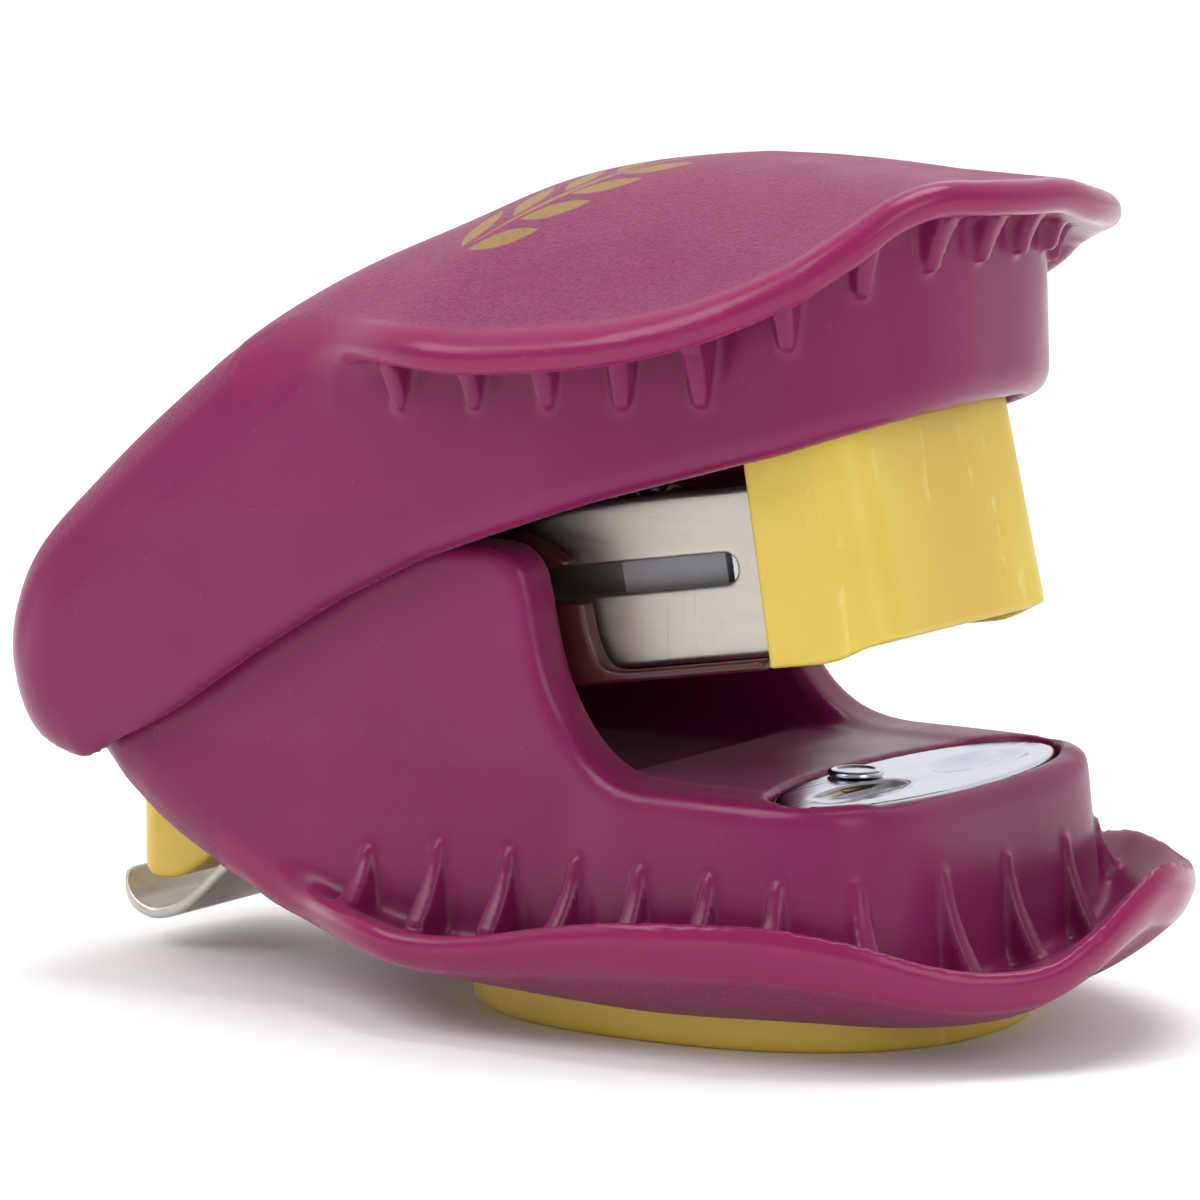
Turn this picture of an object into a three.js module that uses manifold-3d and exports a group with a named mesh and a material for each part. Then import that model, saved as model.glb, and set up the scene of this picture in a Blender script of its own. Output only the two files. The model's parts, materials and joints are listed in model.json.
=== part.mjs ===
// Mini desk stapler shaped like a Venus flytrap: two hinged plastic jaws with thorned lips,
// a sprung steel magazine between them, an anvil in the lower jaw and a steel staple-remover tongue
// at the rear. Millimetres. +X points out of the mouth, +Z up, Y = 0 is the middle plane, the origin
// is the centre of the foot's flat underside. All but the wavy lips and the turn of the springs is
// the same on both sides. The two upper assemblies swing about PIVOT, an axis along Y.
import * as THREE from "three";
import { mergeVertices } from "three/addons/utils/BufferGeometryUtils.js";
import Module from "manifold-3d";

const wasm = await Module();
wasm.setup();

// ---- driving dimensions -------------------------------------------------------------------------
const PIVOT = { x: -29, z: 16.5 }; // hinge axis of handle and magazine
const TILT = 9.2; // degrees the magazine is held up above the anvil at rest
const PIN_R = 1.5;
const CLEAR = 0.3; // working gap between neighbouring pieces

const EAR_HALF = 12.2; // lower jaw, half width at the throat
const DECK_HALF = 12.9; // half width at the deck
const TROUGH_HALF = 9.3; // half width of the channel the magazine lies in
const DECK_Z = 12.8; // top of the deck around the anvil
const DECK_T = 2.2;
const FOOT = { a: 14.2, b: 11.2, h: 0.9 }; // oval foot, half length, half width, visible height

const ARM_HALF = 14.0; // handle, outer half width over the ears
const NOSE_HALF = 10.8; // handle, outer half width of its front block
const WALL = 1.4;
const SHELL_T = 1.7; // thickness of the domed top and of the hull
const FIN_T = 1.0; // thorn thickness at the root

const MAG = { half: 7.2, t: 0.7, lo: -3.05, hi: 5.35, front: 39.8 }; // steel channel, pivot frame
const CRADLE = { half: 8.6, lo: -3.6, front: 34.9 }; // plastic cradle under the channel, pivot frame
const NOSE = { half: 8.4, back: 35.2, front: 42, lo: -3.55, step: 7.9, top: 9,
  round: 2.4 }; // pivot frame; narrower above the step, inside the handle
const EXIT_X = 38.8; // staple line, measured forward of the pivot
const ANVIL = { x: 9.6, back: 4, front: 3.9, half: 11.6, top: 12.55, t: 0.8 }; // oval plate
const POCKET = { x: 9.9, y: 5.3 }; // centres of the two clinch pockets
const ROD = { r: 0.8, z: 3.9 };
const LIFT_X = -12.5; // lift spring under the magazine
const RIVET = { x: 7.3, y: -2 };

// Curves as a few knots (x, value), joined smoothly.
const RIDGE = [[-38.4, 16.2], [-37.8, 18.5], [-36.7, 20.6], [-34.5, 23.2], [-29.5, 28.1], [-25, 31.8],
  [-20, 35.7], [-16, 38.1], [-9, 41.2], [0, 42.7], [8, 42.9], [14, 42.8]]; // handle, top line at Y = 0
const SHOULDER = [[-38.4, 14.5], [-37.2, 17.3], [-35, 20.1], [-31.4, 23.3], [-26.2, 28], [-22, 31.4],
  [-18, 33.8], [-15, 34.4], [-11, 34.7], [-6.5, 34.6], [0, 35.3], [3.2, 35.9], [6.2, 36.7], [8.9, 37.8],
  [10.6, 38.8]]; // handle, where top meets side
const HULL = [[-34, 10.6], [-31, 8.3], [-27.5, 6.2], [-22.5, 3.9], [-18, 2.4], [-13, 1.4],
  [-8, 1], [0, 0.9], [16, 0.9]]; // lower jaw, bottom line at Y = 0
const CHINE = [[-34, 13.8], [-30, 11.8], [-28.2, 10.4], [-25.8, 9], [-23.3, 7.8], [-21.2, 6.9], [-17.8, 6.5], [-13, 6], [-9, 5.5], [-5, 5.8],
  [-1, 6.5], [4, 7.1], [11, 7.3], [15, 6.8]]; // lower jaw, rim height along the side
// Thorns under the handle's lip: distance along the wall from the front tip, height of the tip.
const UPPER_THORNS = [[1.8, 38.4], [5.5, 38.2], [9.2, 37.2], [12.8, 34.6], [17.4, 31.6], [21.3, 31.4],
  [25, 31.3], [29.1, 31], [33.5, 30.6], [37.9, 30.4]];
// Rim height round the front, by distance along the rim from the front tip, minus on the -Y side.
// The lips are wavy like a real leaf, so the two sides differ.
const UPPER_RIM = [[-22, 36.7], [-18.7, 37.8], [-16.5, 38.8], [-13.4, 40.7], [-11, 42.2], [-8.5, 42.9],
  [-5.3, 42.8], [-2, 42.6], [1, 42.4], [4.7, 41.6], [9, 40.8], [13, 40.1], [17, 39], [22, 36.9]];
const LOWER_RIM = [[-24, 7.2], [-18, 6.8], [-13.4, 5.7], [-10.4, 5.3], [-7, 5.5], [-4, 6.8], [-1.5, 8.2],
  [1, 9], [4, 8.6], [8, 8], [12, 7.8], [16, 7.9], [20, 8], [24, 7.6]];

// ---- small tools --------------------------------------------------------------------------------
const rad = (d) => (d * Math.PI) / 180;
const clamp = (v, a, b) => Math.min(b, Math.max(a, v));
const mix = (a, b, t) => a + (b - a) * t;
const ease = (t) => { const u = clamp(t, 0, 1); return u * u * (3 - 2 * u); };

function along(knots, x) { // cubic through the knots, flat beyond the ends
  const n = knots.length;
  if (x <= knots[0][0]) return knots[0][1];
  if (x >= knots[n - 1][0]) return knots[n - 1][1];
  let i = 0;
  while (knots[i + 1][0] < x) i++;
  const slope = (j) => {
    const a = knots[Math.max(0, j - 1)], b = knots[Math.min(n - 1, j + 1)];
    return (b[1] - a[1]) / (b[0] - a[0]);
  };
  const [x0, y0] = knots[i], [x1, y1] = knots[i + 1], h = x1 - x0, t = (x - x0) / h;
  return y0 * (1 + 2 * t) * (1 - t) ** 2 + slope(i) * h * t * (1 - t) ** 2 +
    y1 * t * t * (3 - 2 * t) - slope(i + 1) * h * t * t * (1 - t);
}

function solidFrom(geometry) {
  const g = new THREE.BufferGeometry();
  const src = geometry.index ? geometry.toNonIndexed() : geometry;
  g.setAttribute("position", src.getAttribute("position"));
  const m = mergeVertices(g, 1e-4), idx = [];
  for (let i = 0; i < m.index.count; i += 3) {
    const [a, b, c] = [m.index.getX(i), m.index.getX(i + 1), m.index.getX(i + 2)];
    if (a !== b && b !== c && c !== a) idx.push(a, b, c);
  }
  return new wasm.Manifold(new wasm.Mesh({ numProp: 3,
    vertProperties: new Float32Array(m.attributes.position.array), triVerts: new Uint32Array(idx) }));
}

function meshFrom(solid, name, slot, look) {
  const m = solid.getMesh();
  const g = new THREE.BufferGeometry();
  const p = new Float32Array(m.numVert * 3);
  for (let i = 0; i < m.numVert; i++)
    for (let k = 0; k < 3; k++) p[3 * i + k] = m.vertProperties[i * m.numProp + k];
  g.setAttribute("position", new THREE.BufferAttribute(p, 3));
  g.setIndex(Array.from(m.triVerts));
  const flat = g.toNonIndexed();
  flat.computeVertexNormals();
  const mesh = new THREE.Mesh(flat, new THREE.MeshStandardMaterial({ name: slot, ...look }));
  mesh.name = name;
  return mesh;
}

const box = (x0, x1, y0, y1, z0, z1) => solidFrom(new THREE.BoxGeometry(x1 - x0, y1 - y0, z1 - z0)
  .translate((x0 + x1) / 2, (y0 + y1) / 2, (z0 + z1) / 2));
const extrude = (pts, depth) => new THREE.ExtrudeGeometry(
  new THREE.Shape(pts.map(([a, b]) => new THREE.Vector2(a, b))), { depth, bevelEnabled: false });
const plate = (pts, z0, z1) => solidFrom(extrude(pts, z1 - z0).translate(0, 0, z0)); // pts in XY
const side = (pts, y0, y1) => solidFrom( // pts in XZ, pulled along Y
  extrude(pts, y1 - y0).rotateX(Math.PI / 2).translate(0, y1, 0));
const front = (pts, x0, x1) => solidFrom( // pts in YZ, pulled along X
  extrude(pts, x1 - x0).rotateX(Math.PI / 2).rotateZ(Math.PI / 2).translate(x0, 0, 0));
const rod = (r, p, q, n = 24) => {
  const a = new THREE.Vector3(...p), b = new THREE.Vector3(...q), d = b.clone().sub(a);
  const turn = new THREE.Quaternion().setFromUnitVectors(new THREE.Vector3(0, 1, 0),
    d.clone().normalize());
  return solidFrom(new THREE.CylinderGeometry(r, r, d.length(), n).applyQuaternion(turn)
    .translate(...a.add(b).multiplyScalar(0.5).toArray()));
};
const arc = (cx, cy, r, a0, a1, n) => Array.from({ length: n + 1 }, (_, i) => {
  const a = rad(mix(a0, a1, i / n));
  return [cx + r * Math.cos(a), cy + r * Math.sin(a)];
});
const union = (list) => list.reduce((a, b) => a.add(b));

// Round-wire helix of the given length, from a start point along an axis.
function coil(r, wire, turns, length, axis, start, per = 12, sides = 6) {
  const pts = [];
  for (let i = 0; i <= turns * per; i++) {
    const a = (2 * Math.PI * i) / per, s = (length * i) / (turns * per);
    pts.push(new THREE.Vector3(s, r * Math.cos(a), r * Math.sin(a)));
  }
  const pos = [];
  const ring = pts.map((c, i) => {
    const t = pts[Math.min(i + 1, pts.length - 1)].clone().sub(pts[Math.max(i - 1, 0)]).normalize();
    const out = new THREE.Vector3(0, c.y, c.z).normalize();
    const up = new THREE.Vector3().crossVectors(t, out).normalize();
    return Array.from({ length: sides }, (_, k) => {
      const a = (2 * Math.PI * k) / sides;
      return c.clone().addScaledVector(out, wire * Math.cos(a)).addScaledVector(up, wire * Math.sin(a));
    });
  });
  const put = (...v) => v.forEach((p) => pos.push(p.x, p.y, p.z));
  for (let i = 0; i < ring.length - 1; i++)
    for (let k = 0; k < sides; k++) {
      const j = (k + 1) % sides;
      put(ring[i][k], ring[i + 1][j], ring[i + 1][k]);
      put(ring[i][k], ring[i][j], ring[i + 1][j]);
    }
  const last = ring.length - 1;
  for (let k = 1; k < sides - 1; k++) {
    put(ring[0][0], ring[0][k + 1], ring[0][k]);
    put(ring[last][0], ring[last][k], ring[last][k + 1]);
  }
  const g = new THREE.BufferGeometry().setAttribute("position",
    new THREE.Float32BufferAttribute(pos, 3));
  if (axis === "z") g.rotateY(-Math.PI / 2);
  return solidFrom(g.translate(...start));
}

// ---- plan outlines ------------------------------------------------------------------------------
// A plan outline runs from the rear on the -Y side round the front to the rear on the +Y side.
// Each station keeps its point, its foot on the centre line, its outward normal and how far it is
// along the outline from the front tip, minus on the -Y side.
function outline({ rear, from, tip, power, half, n = 18, m = 12 }) {
  const right = [];
  for (let i = 0; i < n; i++) {
    const x = mix(rear, from, i / n);
    right.push({ x, y: half(x), sx: x });
  }
  for (let i = 0; i <= m; i++) {
    const a = (Math.PI / 2) * (1 - i / m), w = half(from);
    const c = Math.cos(a) ** (2 / power), s = Math.sin(a) ** (2 / power);
    right.push({ x: from + (tip - from) * c, y: i === m ? 0 : w * s, sx: from });
  }
  const all = [...right.map((p) => ({ ...p, y: -p.y })),
    ...right.slice(0, -1).reverse().map((p) => ({ ...p }))];
  const mid = right.length - 1;
  all.forEach((p, i) => {
    const a = all[Math.max(0, i - 1)], b = all[Math.min(all.length - 1, i + 1)];
    const dx = b.x - a.x, dy = b.y - a.y, l = Math.hypot(dx, dy);
    p.nx = dy / l;
    p.ny = -dx / l;
  });
  all[mid].dist = 0;
  for (let i = mid + 1; i < all.length; i++) {
    all[i].dist = all[i - 1].dist + Math.hypot(all[i].x - all[i - 1].x, all[i].y - all[i - 1].y);
    all[2 * mid - i].dist = -all[i].dist;
  }
  return all;
}
const ring = (stations, grow = 0) => stations.map((p) => [p.x + p.nx * grow, p.y + p.ny * grow]);

// A slab over an outline: rows run from the centre line (0) to the rim (1) of every station.
function slab(stations, rows, top, bottom) {
  const at = (p, r, f) => [mix(p.sx, p.x, r), p.y * r, f(p, r)];
  const pos = [];
  const tri = (...v) => v.forEach((q) => pos.push(...q));
  const quad = (a, b, c, d) => { tri(a, b, c); tri(a, c, d); };
  for (let i = 0; i < stations.length - 1; i++) {
    const p = stations[i], q = stations[i + 1];
    for (let j = 0; j < rows.length - 1; j++) {
      const [r0, r1] = [rows[j], rows[j + 1]];
      quad(at(p, r0, top), at(p, r1, top), at(q, r1, top), at(q, r0, top));
      quad(at(p, r0, bottom), at(q, r0, bottom), at(q, r1, bottom), at(p, r1, bottom));
    }
    quad(at(p, 1, top), at(p, 1, bottom), at(q, 1, bottom), at(q, 1, top));
  }
  const ends = [[stations[0], false], [stations[stations.length - 1], true]];
  for (const [p, flip] of ends)
    for (let j = 0; j < rows.length - 1; j++) {
      const f = [at(p, rows[j], top), at(p, rows[j], bottom), at(p, rows[j + 1], bottom),
        at(p, rows[j + 1], top)];
      if (flip) quad(f[3], f[2], f[1], f[0]);
      else quad(f[0], f[1], f[2], f[3]);
    }
  return solidFrom(new THREE.BufferGeometry().setAttribute("position",
    new THREE.Float32BufferAttribute(pos, 3)));
}

// ---- handle (upper jaw) -------------------------------------------------------------------------
const REAR = { x: -38.3, round: 5.5 }; // rear face of the handle and its corner rounding in plan
const BASE_REAR = { x: -35.8, round: 6.5 };
const corner = (x, end) => { // how far a rounded rear corner draws the side in
  const u = clamp((end.x + end.round - x) / end.round, 0, 1);
  return end.round * (1 - Math.sqrt(1 - u * u));
};
const armHalf = (x) => mix(ARM_HALF, NOSE_HALF, ease((x + 4) / 10)) - corner(x, REAR);
const upperWall = outline({ rear: REAR.x, from: 5, tip: 14.1, power: 2.6, half: armHalf, n: 40, m: 8 });
const upperLip = outline({ rear: -45, from: 0, tip: 18, power: 2.15, n: 26,
  half: (x) => mix(ARM_HALF, 17, ease((x + 20) / 12)) });
const upperRim = (p) =>
  mix(along(UPPER_RIM, p.dist), along(SHOULDER, p.x), ease((Math.abs(p.dist) - 15) / 6));
const crown = (p, r) => { // height of the domed top
  const boxy = 1 - ease((p.sx + 24) / 12); // square-shouldered at the rear, leaf-like in front
  const g = (1 - r ** mix(2.1, 4, boxy)) ** mix(1.3, 0.5, boxy);
  const rim = upperRim(p);
  return rim + (along(RIDGE, p.sx) - rim) * g;
};
const rimRound = (p, r, t) => { // half thickness of a lip that ends in a round bead
  const d = (1 - r) * Math.hypot(p.x - p.sx, p.y);
  return d >= t / 2 ? t / 2 : Math.max(0.2, Math.sqrt(Math.max(0, (t / 2) ** 2 - (t / 2 - d) ** 2)));
};
const ROWS = [0, 0.25, 0.45, 0.62, 0.76, 0.87, 0.95, 0.985, 1];

function fin(stations, dist, sign, spec) { // thin curved thorn between wall and lip
  let i = (stations.length - 1) / 2;
  while (i < stations.length - 2 && stations[i + 1].dist < dist) i++;
  const a = stations[i], b = stations[i + 1], t = (dist - a.dist) / (b.dist - a.dist);
  const x = mix(a.x, b.x, t), y = mix(a.y, b.y, t) * sign;
  const nx = mix(a.nx, b.nx, t), ny = mix(a.ny, b.ny, t) * sign;
  const { reach, root, tip, bed } = spec(x, y, nx, ny);
  const pts = [[-0.6, tip], [0.5, tip]];
  for (const u of [0.3, 0.55, 0.8, 1]) // concave outer edge
    pts.push([mix(0.5, reach, u ** 1.6), mix(tip, root, u)]);
  pts.push([reach - 0.3, bed], [-0.6, bed]);
  if (root > tip) pts.reverse();
  const g = extrude(pts, FIN_T).rotateX(Math.PI / 2).translate(0, FIN_T / 2, 0);
  const pos = g.getAttribute("position");
  for (let k = 0; k < pos.count; k++) { // thinner towards the tip
    const u = clamp((pos.getZ(k) - tip) / (root - tip), 0, 1);
    pos.setY(k, pos.getY(k) * mix(0.45, 1, u));
  }
  return solidFrom(g.rotateZ(Math.atan2(ny, nx)).translate(x, y, 0));
}

function upperJaw() {
  const centre = (p, r) => crown(p, r) - SHELL_T / 2;
  const lipped = upperLip.filter((p) => p.x > -20.5);
  const leaf = slab(lipped, ROWS, (p, r) => centre(p, r) + rimRound(p, r, SHELL_T),
    (p, r) => centre(p, r) - rimRound(p, r, SHELL_T));
  const rows = [0, 0.3, 0.55, 0.75, 0.9, 1];
  const under = slab(upperLip, rows, centre, () => -20);
  const full = slab(upperLip, rows, (p, r) => crown(p, r) - 0.02, () => -20);
  const edge = [...arc(-31.8, 17.8, 7.1, 165, 262, 8), [-30.8, 11.5], [-29.2, 12.3],
    [-25.6, 14.4], [-20.9, 17.6], [-15.6, 20.8], [-10.7, 23.2], [-6.4, 24.8], [-1.1, 26.7],
    [4.2, 28.3], [8, 29.4], [11.9, 30.8], [16, 32.4], [20, 34], [20, 60], [-38.57, 60]];
  const body = side(edge, -20, 20);
  const rearTop = box(-60, -18.4, -20, 20, -20, 60);
  const skin = plate(ring(upperWall), -10, 60).intersect(body);
  const outer = skin.intersect(under).add(skin.intersect(full).intersect(rearTop)).add(leaf);
  const hollowSide = [...arc(PIVOT.x, PIVOT.z, 7.7, 180, 90, 8), [PIVOT.x, 60], [60, 60],
    [60, -30], [-60, -30], [-60, PIVOT.z]];
  const ceiling = slab(upperLip, rows, (p, r) => crown(p, r) - SHELL_T, () => -20);
  const hollow = plate(ring(upperWall, -WALL), -30, 60).intersect(side(hollowSide, -20, 20))
    .intersect(ceiling.add(box(-60, 60, -20, 20, -60, 5)));
  let shell = outer.subtract(hollow);
  for (const [d, tip] of UPPER_THORNS)
    for (const s of [1, -1]) {
      const spec = () => ({ reach: 2.1, root: tip + 3, tip, bed: tip + 6 });
      shell = shell.add(fin(upperWall, d, s, spec).intersect(under));
    }
  for (const s of [1, -1]) // hinge bosses with blind holes for the pin ends
    shell = shell.subtract(rod(PIN_R + 0.1, [PIVOT.x, s * 12.4, PIVOT.z], [PIVOT.x, s * 13.3, PIVOT.z]));
  return shell;
}

// ---- lower jaw ----------------------------------------------------------------------------------
const lowerWall = outline({ rear: BASE_REAR.x, from: 5, tip: 14.5, power: 4, n: 40, m: 10,
  half: (x) => mix(EAR_HALF, DECK_HALF, ease((x + 3.8) / 5)) - corner(x, BASE_REAR) });
const lowerLip = outline({ rear: -40, from: 2, tip: 23.4, power: 1.95, n: 26,
  half: (x) => mix(EAR_HALF + 0.3, 17.3, ease((x + 23) / 13)) });
const lowerRim = (p) =>
  mix(along(LOWER_RIM, p.dist), along(CHINE, p.x), ease((Math.abs(p.dist) - 17) / 6));
const keel = (p, r) => { // height of the hull's underside
  const t = ease((p.sx + 10) / 12); // fuller in front
  const g = (1 - r ** mix(2.1, 4.2, t)) ** mix(0.9, 1, t);
  const rim = lowerRim(p) - SHELL_T;
  return rim + (along(HULL, p.sx) - rim) * g;
};

function lowerJaw() {
  const mid = (p, r) => keel(p, r) + SHELL_T / 2;
  const lipped = lowerLip.filter((p) => p.x > -23);
  const leaf = slab(lipped, ROWS, (p, r) => mid(p, r) + rimRound(p, r, SHELL_T),
    (p, r) => mid(p, r) - rimRound(p, r, SHELL_T));
  const rows = [0, 0.3, 0.55, 0.75, 0.9, 1];
  const above = slab(lowerLip, rows, () => 60, mid)
    .add(slab(lowerLip, rows, () => 60, (p, r) => keel(p, r) + 0.03).intersect(box(-60, -22, -20, 20, -20, 60)));
  const ears = [...arc(PIVOT.x, PIVOT.z, 7.1, 240, 195, 5), ...arc(PIVOT.x, PIVOT.z, 6.3, 165, 95, 7),
    [-24, 23.3], [-19, 24], [-9, 24], [-7.7, 24], [-6.6, 23.7],
    [-5.8, 22.9], [-5.4, 21.6], [-5.05, 20], [-4.65, 18.4], [-4.1, 17], [-3.3, 15.6], [-2.3, 14.4],
    [-1.1, 13.5], [0.2, 13], [1.6, DECK_Z], [13.8, DECK_Z], [14.6, DECK_Z - 0.4], [20, 8], [20, -5],
    [-33.2, -5]];
  const body = plate(ring(lowerWall, 0.2), -5, 40).intersect(side(ears, -20, 20)).intersect(above);
  const troughLine = [...arc(PIVOT.x, PIVOT.z, 5.9, 225, 90, 8), [PIVOT.x, 60], [30, 60],
    [30, DECK_Z], [1, DECK_Z], [-3, DECK_Z - 0.4], [-6, DECK_Z - 1.4], [-27, DECK_Z - 1.4]];
  const trough = side(troughLine, -TROUGH_HALF, TROUGH_HALF);
  const roofLine = [[-31.5, 9.2], [-6, 9.2], [-2, DECK_Z - DECK_T], [30, DECK_Z - DECK_T],
    [30, -20], [-31.5, -20]];
  const room = plate(ring(lowerWall, -WALL - 0.2), -10, 40).intersect(side(roofLine, -20, 20))
    .intersect(slab(lowerLip, rows, () => 60, (p, r) => keel(p, r) + SHELL_T));
  let shell = body.add(leaf).subtract(trough).subtract(room);
  const spec = (x, y, nx) => {
    const tip = mix(8.4, 9.1, ease((x + 14) / 4));
    const dip = nx > 0.3 && Math.abs(y) < 8 ? 4.4 : 5.6;
    return { reach: 2.6, root: x < -12 ? 6 : dip, tip, bed: 3.2 };
  };
  const overLip = slab(lowerLip, rows, () => 60, (p, r) => keel(p, r) + 0.6);
  for (const d of [0, 5.7, 11.2, 15, 18.8, 22.8, 26.9, 31, 35.2, 39.4])
    for (const s of d ? [1, -1] : [1]) shell = shell.add(fin(lowerWall, d, s, spec).intersect(overLip));
  // seat of the anvil, the foot's mouth, the pin holes and the remover's slot
  shell = shell.subtract(plate(anvilRing(0.15), ANVIL.top - ANVIL.t - CLEAR, 20));
  shell = shell.subtract(plate(anvilRing(-2), 5, 20));
  shell = shell.subtract(plate(footRing(0.2), -5, 3.3));
  shell = shell.subtract(rod(PIN_R + 0.05, [PIVOT.x, -20, PIVOT.z], [PIVOT.x, 20, PIVOT.z]));
  shell = shell.subtract(box(-35, -22, -4.95, 4.95, -5, 8.3));
  shell = shell.subtract(rod(2.6, [LIFT_X, 0, 4], [LIFT_X, 0, 20]));
  shell = shell.subtract(rod(1.1, [RIVET.x, RIVET.y, 5], [RIVET.x, RIVET.y, 20]));
  return shell;
}
const anvilRing = (grow, n = 40) => Array.from({ length: n }, (_, i) => {
  const t = (2 * Math.PI * (i + 0.5)) / n, c = Math.cos(t), s = Math.sin(t);
  return [ANVIL.x + (grow + (c > 0 ? ANVIL.front : ANVIL.back)) * Math.sign(c) * Math.abs(c) ** 0.95,
    (ANVIL.half + grow) * Math.sign(s) * Math.abs(s) ** 0.95];
});
const footRing = (grow, n = 36) => Array.from({ length: n }, (_, i) => {
  const t = (2 * Math.PI * i) / n, c = Math.cos(t), s = Math.sin(t);
  return [(FOOT.a + grow) * Math.sign(c) * Math.abs(c) ** 0.85,
    (FOOT.b + grow) * Math.sign(s) * Math.abs(s) ** 0.85];
});
const lowerShell = lowerJaw();

// Foot: closes the hull from below and carries the post of the lift spring.
const foot = union([plate(footRing(0), 0, 2.9), plate(footRing(-1.6), 2.8, 3.4)])
  .subtract(plate(footRing(-2.8), 1.4, 6))
  .add(rod(1.1, [LIFT_X, 0, 1], [LIFT_X, 0, 10.6]));

// Anvil: chromed plate with two clinch pockets.
let anvil = plate(anvilRing(-0.15), ANVIL.top - ANVIL.t, ANVIL.top);
for (const s of [-1, 1]) {
  const dish = new THREE.SphereGeometry(1, 20, 12).scale(1.5, 3.8, 0.62)
    .translate(POCKET.x, s * POCKET.y, ANVIL.top + 0.02);
  anvil = anvil.subtract(solidFrom(dish));
}
anvil = anvil.subtract(rod(1.0, [RIVET.x, RIVET.y, 5], [RIVET.x, RIVET.y, 20]));
const rivet = solidFrom(new THREE.LatheGeometry([[0, -3], [0.8, -3], [0.8, 0.05], [1.4, 0.05],
  [1.3, 0.25], [0.9, 0.34], [0, 0.36]].map(([r, z]) => new THREE.Vector2(r, z)), 24)
  .rotateX(Math.PI / 2).translate(RIVET.x, RIVET.y, ANVIL.top));

// Staple remover: a steel tongue with an upturned tip, held by a yellow block.
const tongueLine = [[-22.5, 7.5], [-25.5, 6.9], [-27.8, 5.7], [-29.3, 4.5], [-30.7, 3.2],
  [-32, 2.25], [-33.4, 1.85], [-34.5, 2.1], [-35.4, 2.65], [-36.3, 3.45]];
const thick = (line, t) => {
  const up = [], dn = [];
  line.forEach(([x, z], i) => {
    const a = line[Math.max(0, i - 1)], b = line[Math.min(line.length - 1, i + 1)];
    const l = Math.hypot(b[0] - a[0], b[1] - a[1]);
    const [nx, nz] = [-(b[1] - a[1]) / l, (b[0] - a[0]) / l];
    up.push([x + (nx * t) / 2, z + (nz * t) / 2]);
    dn.push([x - (nx * t) / 2, z - (nz * t) / 2]);
  });
  return [...dn, ...up.reverse()].reverse();
};
const tonguePlan = [[-20, 4.65], ...arc(-34.2, 2.55, 2.1, 90, 180, 6), ...arc(-34.2, -2.55, 2.1, 180, 270, 6),
  [-20, -4.65]];
const tongue = side(thick(tongueLine, 0.6), -4.65, 4.65).intersect(plate(tonguePlan, -5, 20));
const holderLine = [[-35, 8.1], [-35, 4.5], [-34.7, 4], [-34, 3.7], [-33, 3.65], [-31.8, 4],
  [-30, 5.2], [-28, 6.7], [-26.6, 8.1]];
const holderPlan = [[-26, 4.2], ...arc(-33.5, 2.7, 1.5, 90, 180, 5), ...arc(-33.5, -2.7, 1.5, 180, 270, 5),
  [-26, -4.2]];
const holder = side(holderLine, -4.2, 4.2).intersect(plate(holderPlan, 0, 20));

// Lift spring: a coil between the foot and the magazine.
const liftSpring = coil(1.75, 0.26, 6, 10.3, "z", [LIFT_X, 0, 3.8]);
const pin = rod(PIN_R, [PIVOT.x, -13.1, PIVOT.z], [PIVOT.x, 13.1, PIVOT.z], 32);

// ---- magazine (drawn level about the pivot, then tilted up) --------------------------------------
const { half, t, lo, hi } = MAG;
const plateSide = [...arc(0, 0, 5.2, 214, 96, 8), [8, 5.1], [16, 3.6], [20.4, 4.2], [22.6, 5], [26, hi],
  [MAG.front, hi], [MAG.front, lo], [-3.9, lo]].reverse();
let channel = side(plateSide, -half, half)
  .subtract(side([[-20, -3], [60, -3], [60, 20], [-20, 20]].map(([x, z]) => [x, Math.max(z, lo + t)]),
    -half + t, half - t))
  .subtract(box(EXIT_X - 0.9, 60, -half - 1, half + 1, lo - 1, lo + t + 0.01)
    .subtract(box(EXIT_X - 0.9, 60, -half - 2, -half + t, -9, 9)).subtract(
      box(EXIT_X - 0.9, 60, half - t, half + 2, -9, 9)))
  .subtract(rod(PIN_R + 0.15, [0, -20, 0], [0, 20, 0]));
const slotLine = [...arc(32.6, 1.45, 0.75, -90, 90, 6), ...arc(14, 1.45, 0.75, 90, 270, 6)];
channel = channel.subtract(side(slotLine, -20, 20));

// Nose: its front leans back a little and its lower edge rises to clear the anvil.
const noseRing = (w, x, r) => [[NOSE.back, -w], ...arc(x - r, r - w, r, -90, 0, 5),
  ...arc(x - r, w - r, r, 0, 90, 5), [NOSE.back, w]];
const noseSide = [[NOSE.back - 1, NOSE.lo], [38.2, NOSE.lo], [39.4, NOSE.lo + 0.15],
  [NOSE.front, NOSE.lo + 0.7], [NOSE.front - 0.8, NOSE.top], [NOSE.back - 1, NOSE.top]];
const nose = plate(noseRing(NOSE.half, NOSE.front, NOSE.round), NOSE.lo - 1, NOSE.step)
  .add(plate(noseRing(NOSE.half - 0.7, NOSE.front - 0.9, 2), NOSE.step - 0.5, NOSE.top))
  .intersect(side(noseSide, -20, 20))
  .subtract(box(0, 40.3, -half - CLEAR, half + CLEAR, NOSE.lo - 2, 20))
  .add(box(NOSE.back, 37, -half - 0.4, half + 0.4, hi + CLEAR, NOSE.top));

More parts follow.
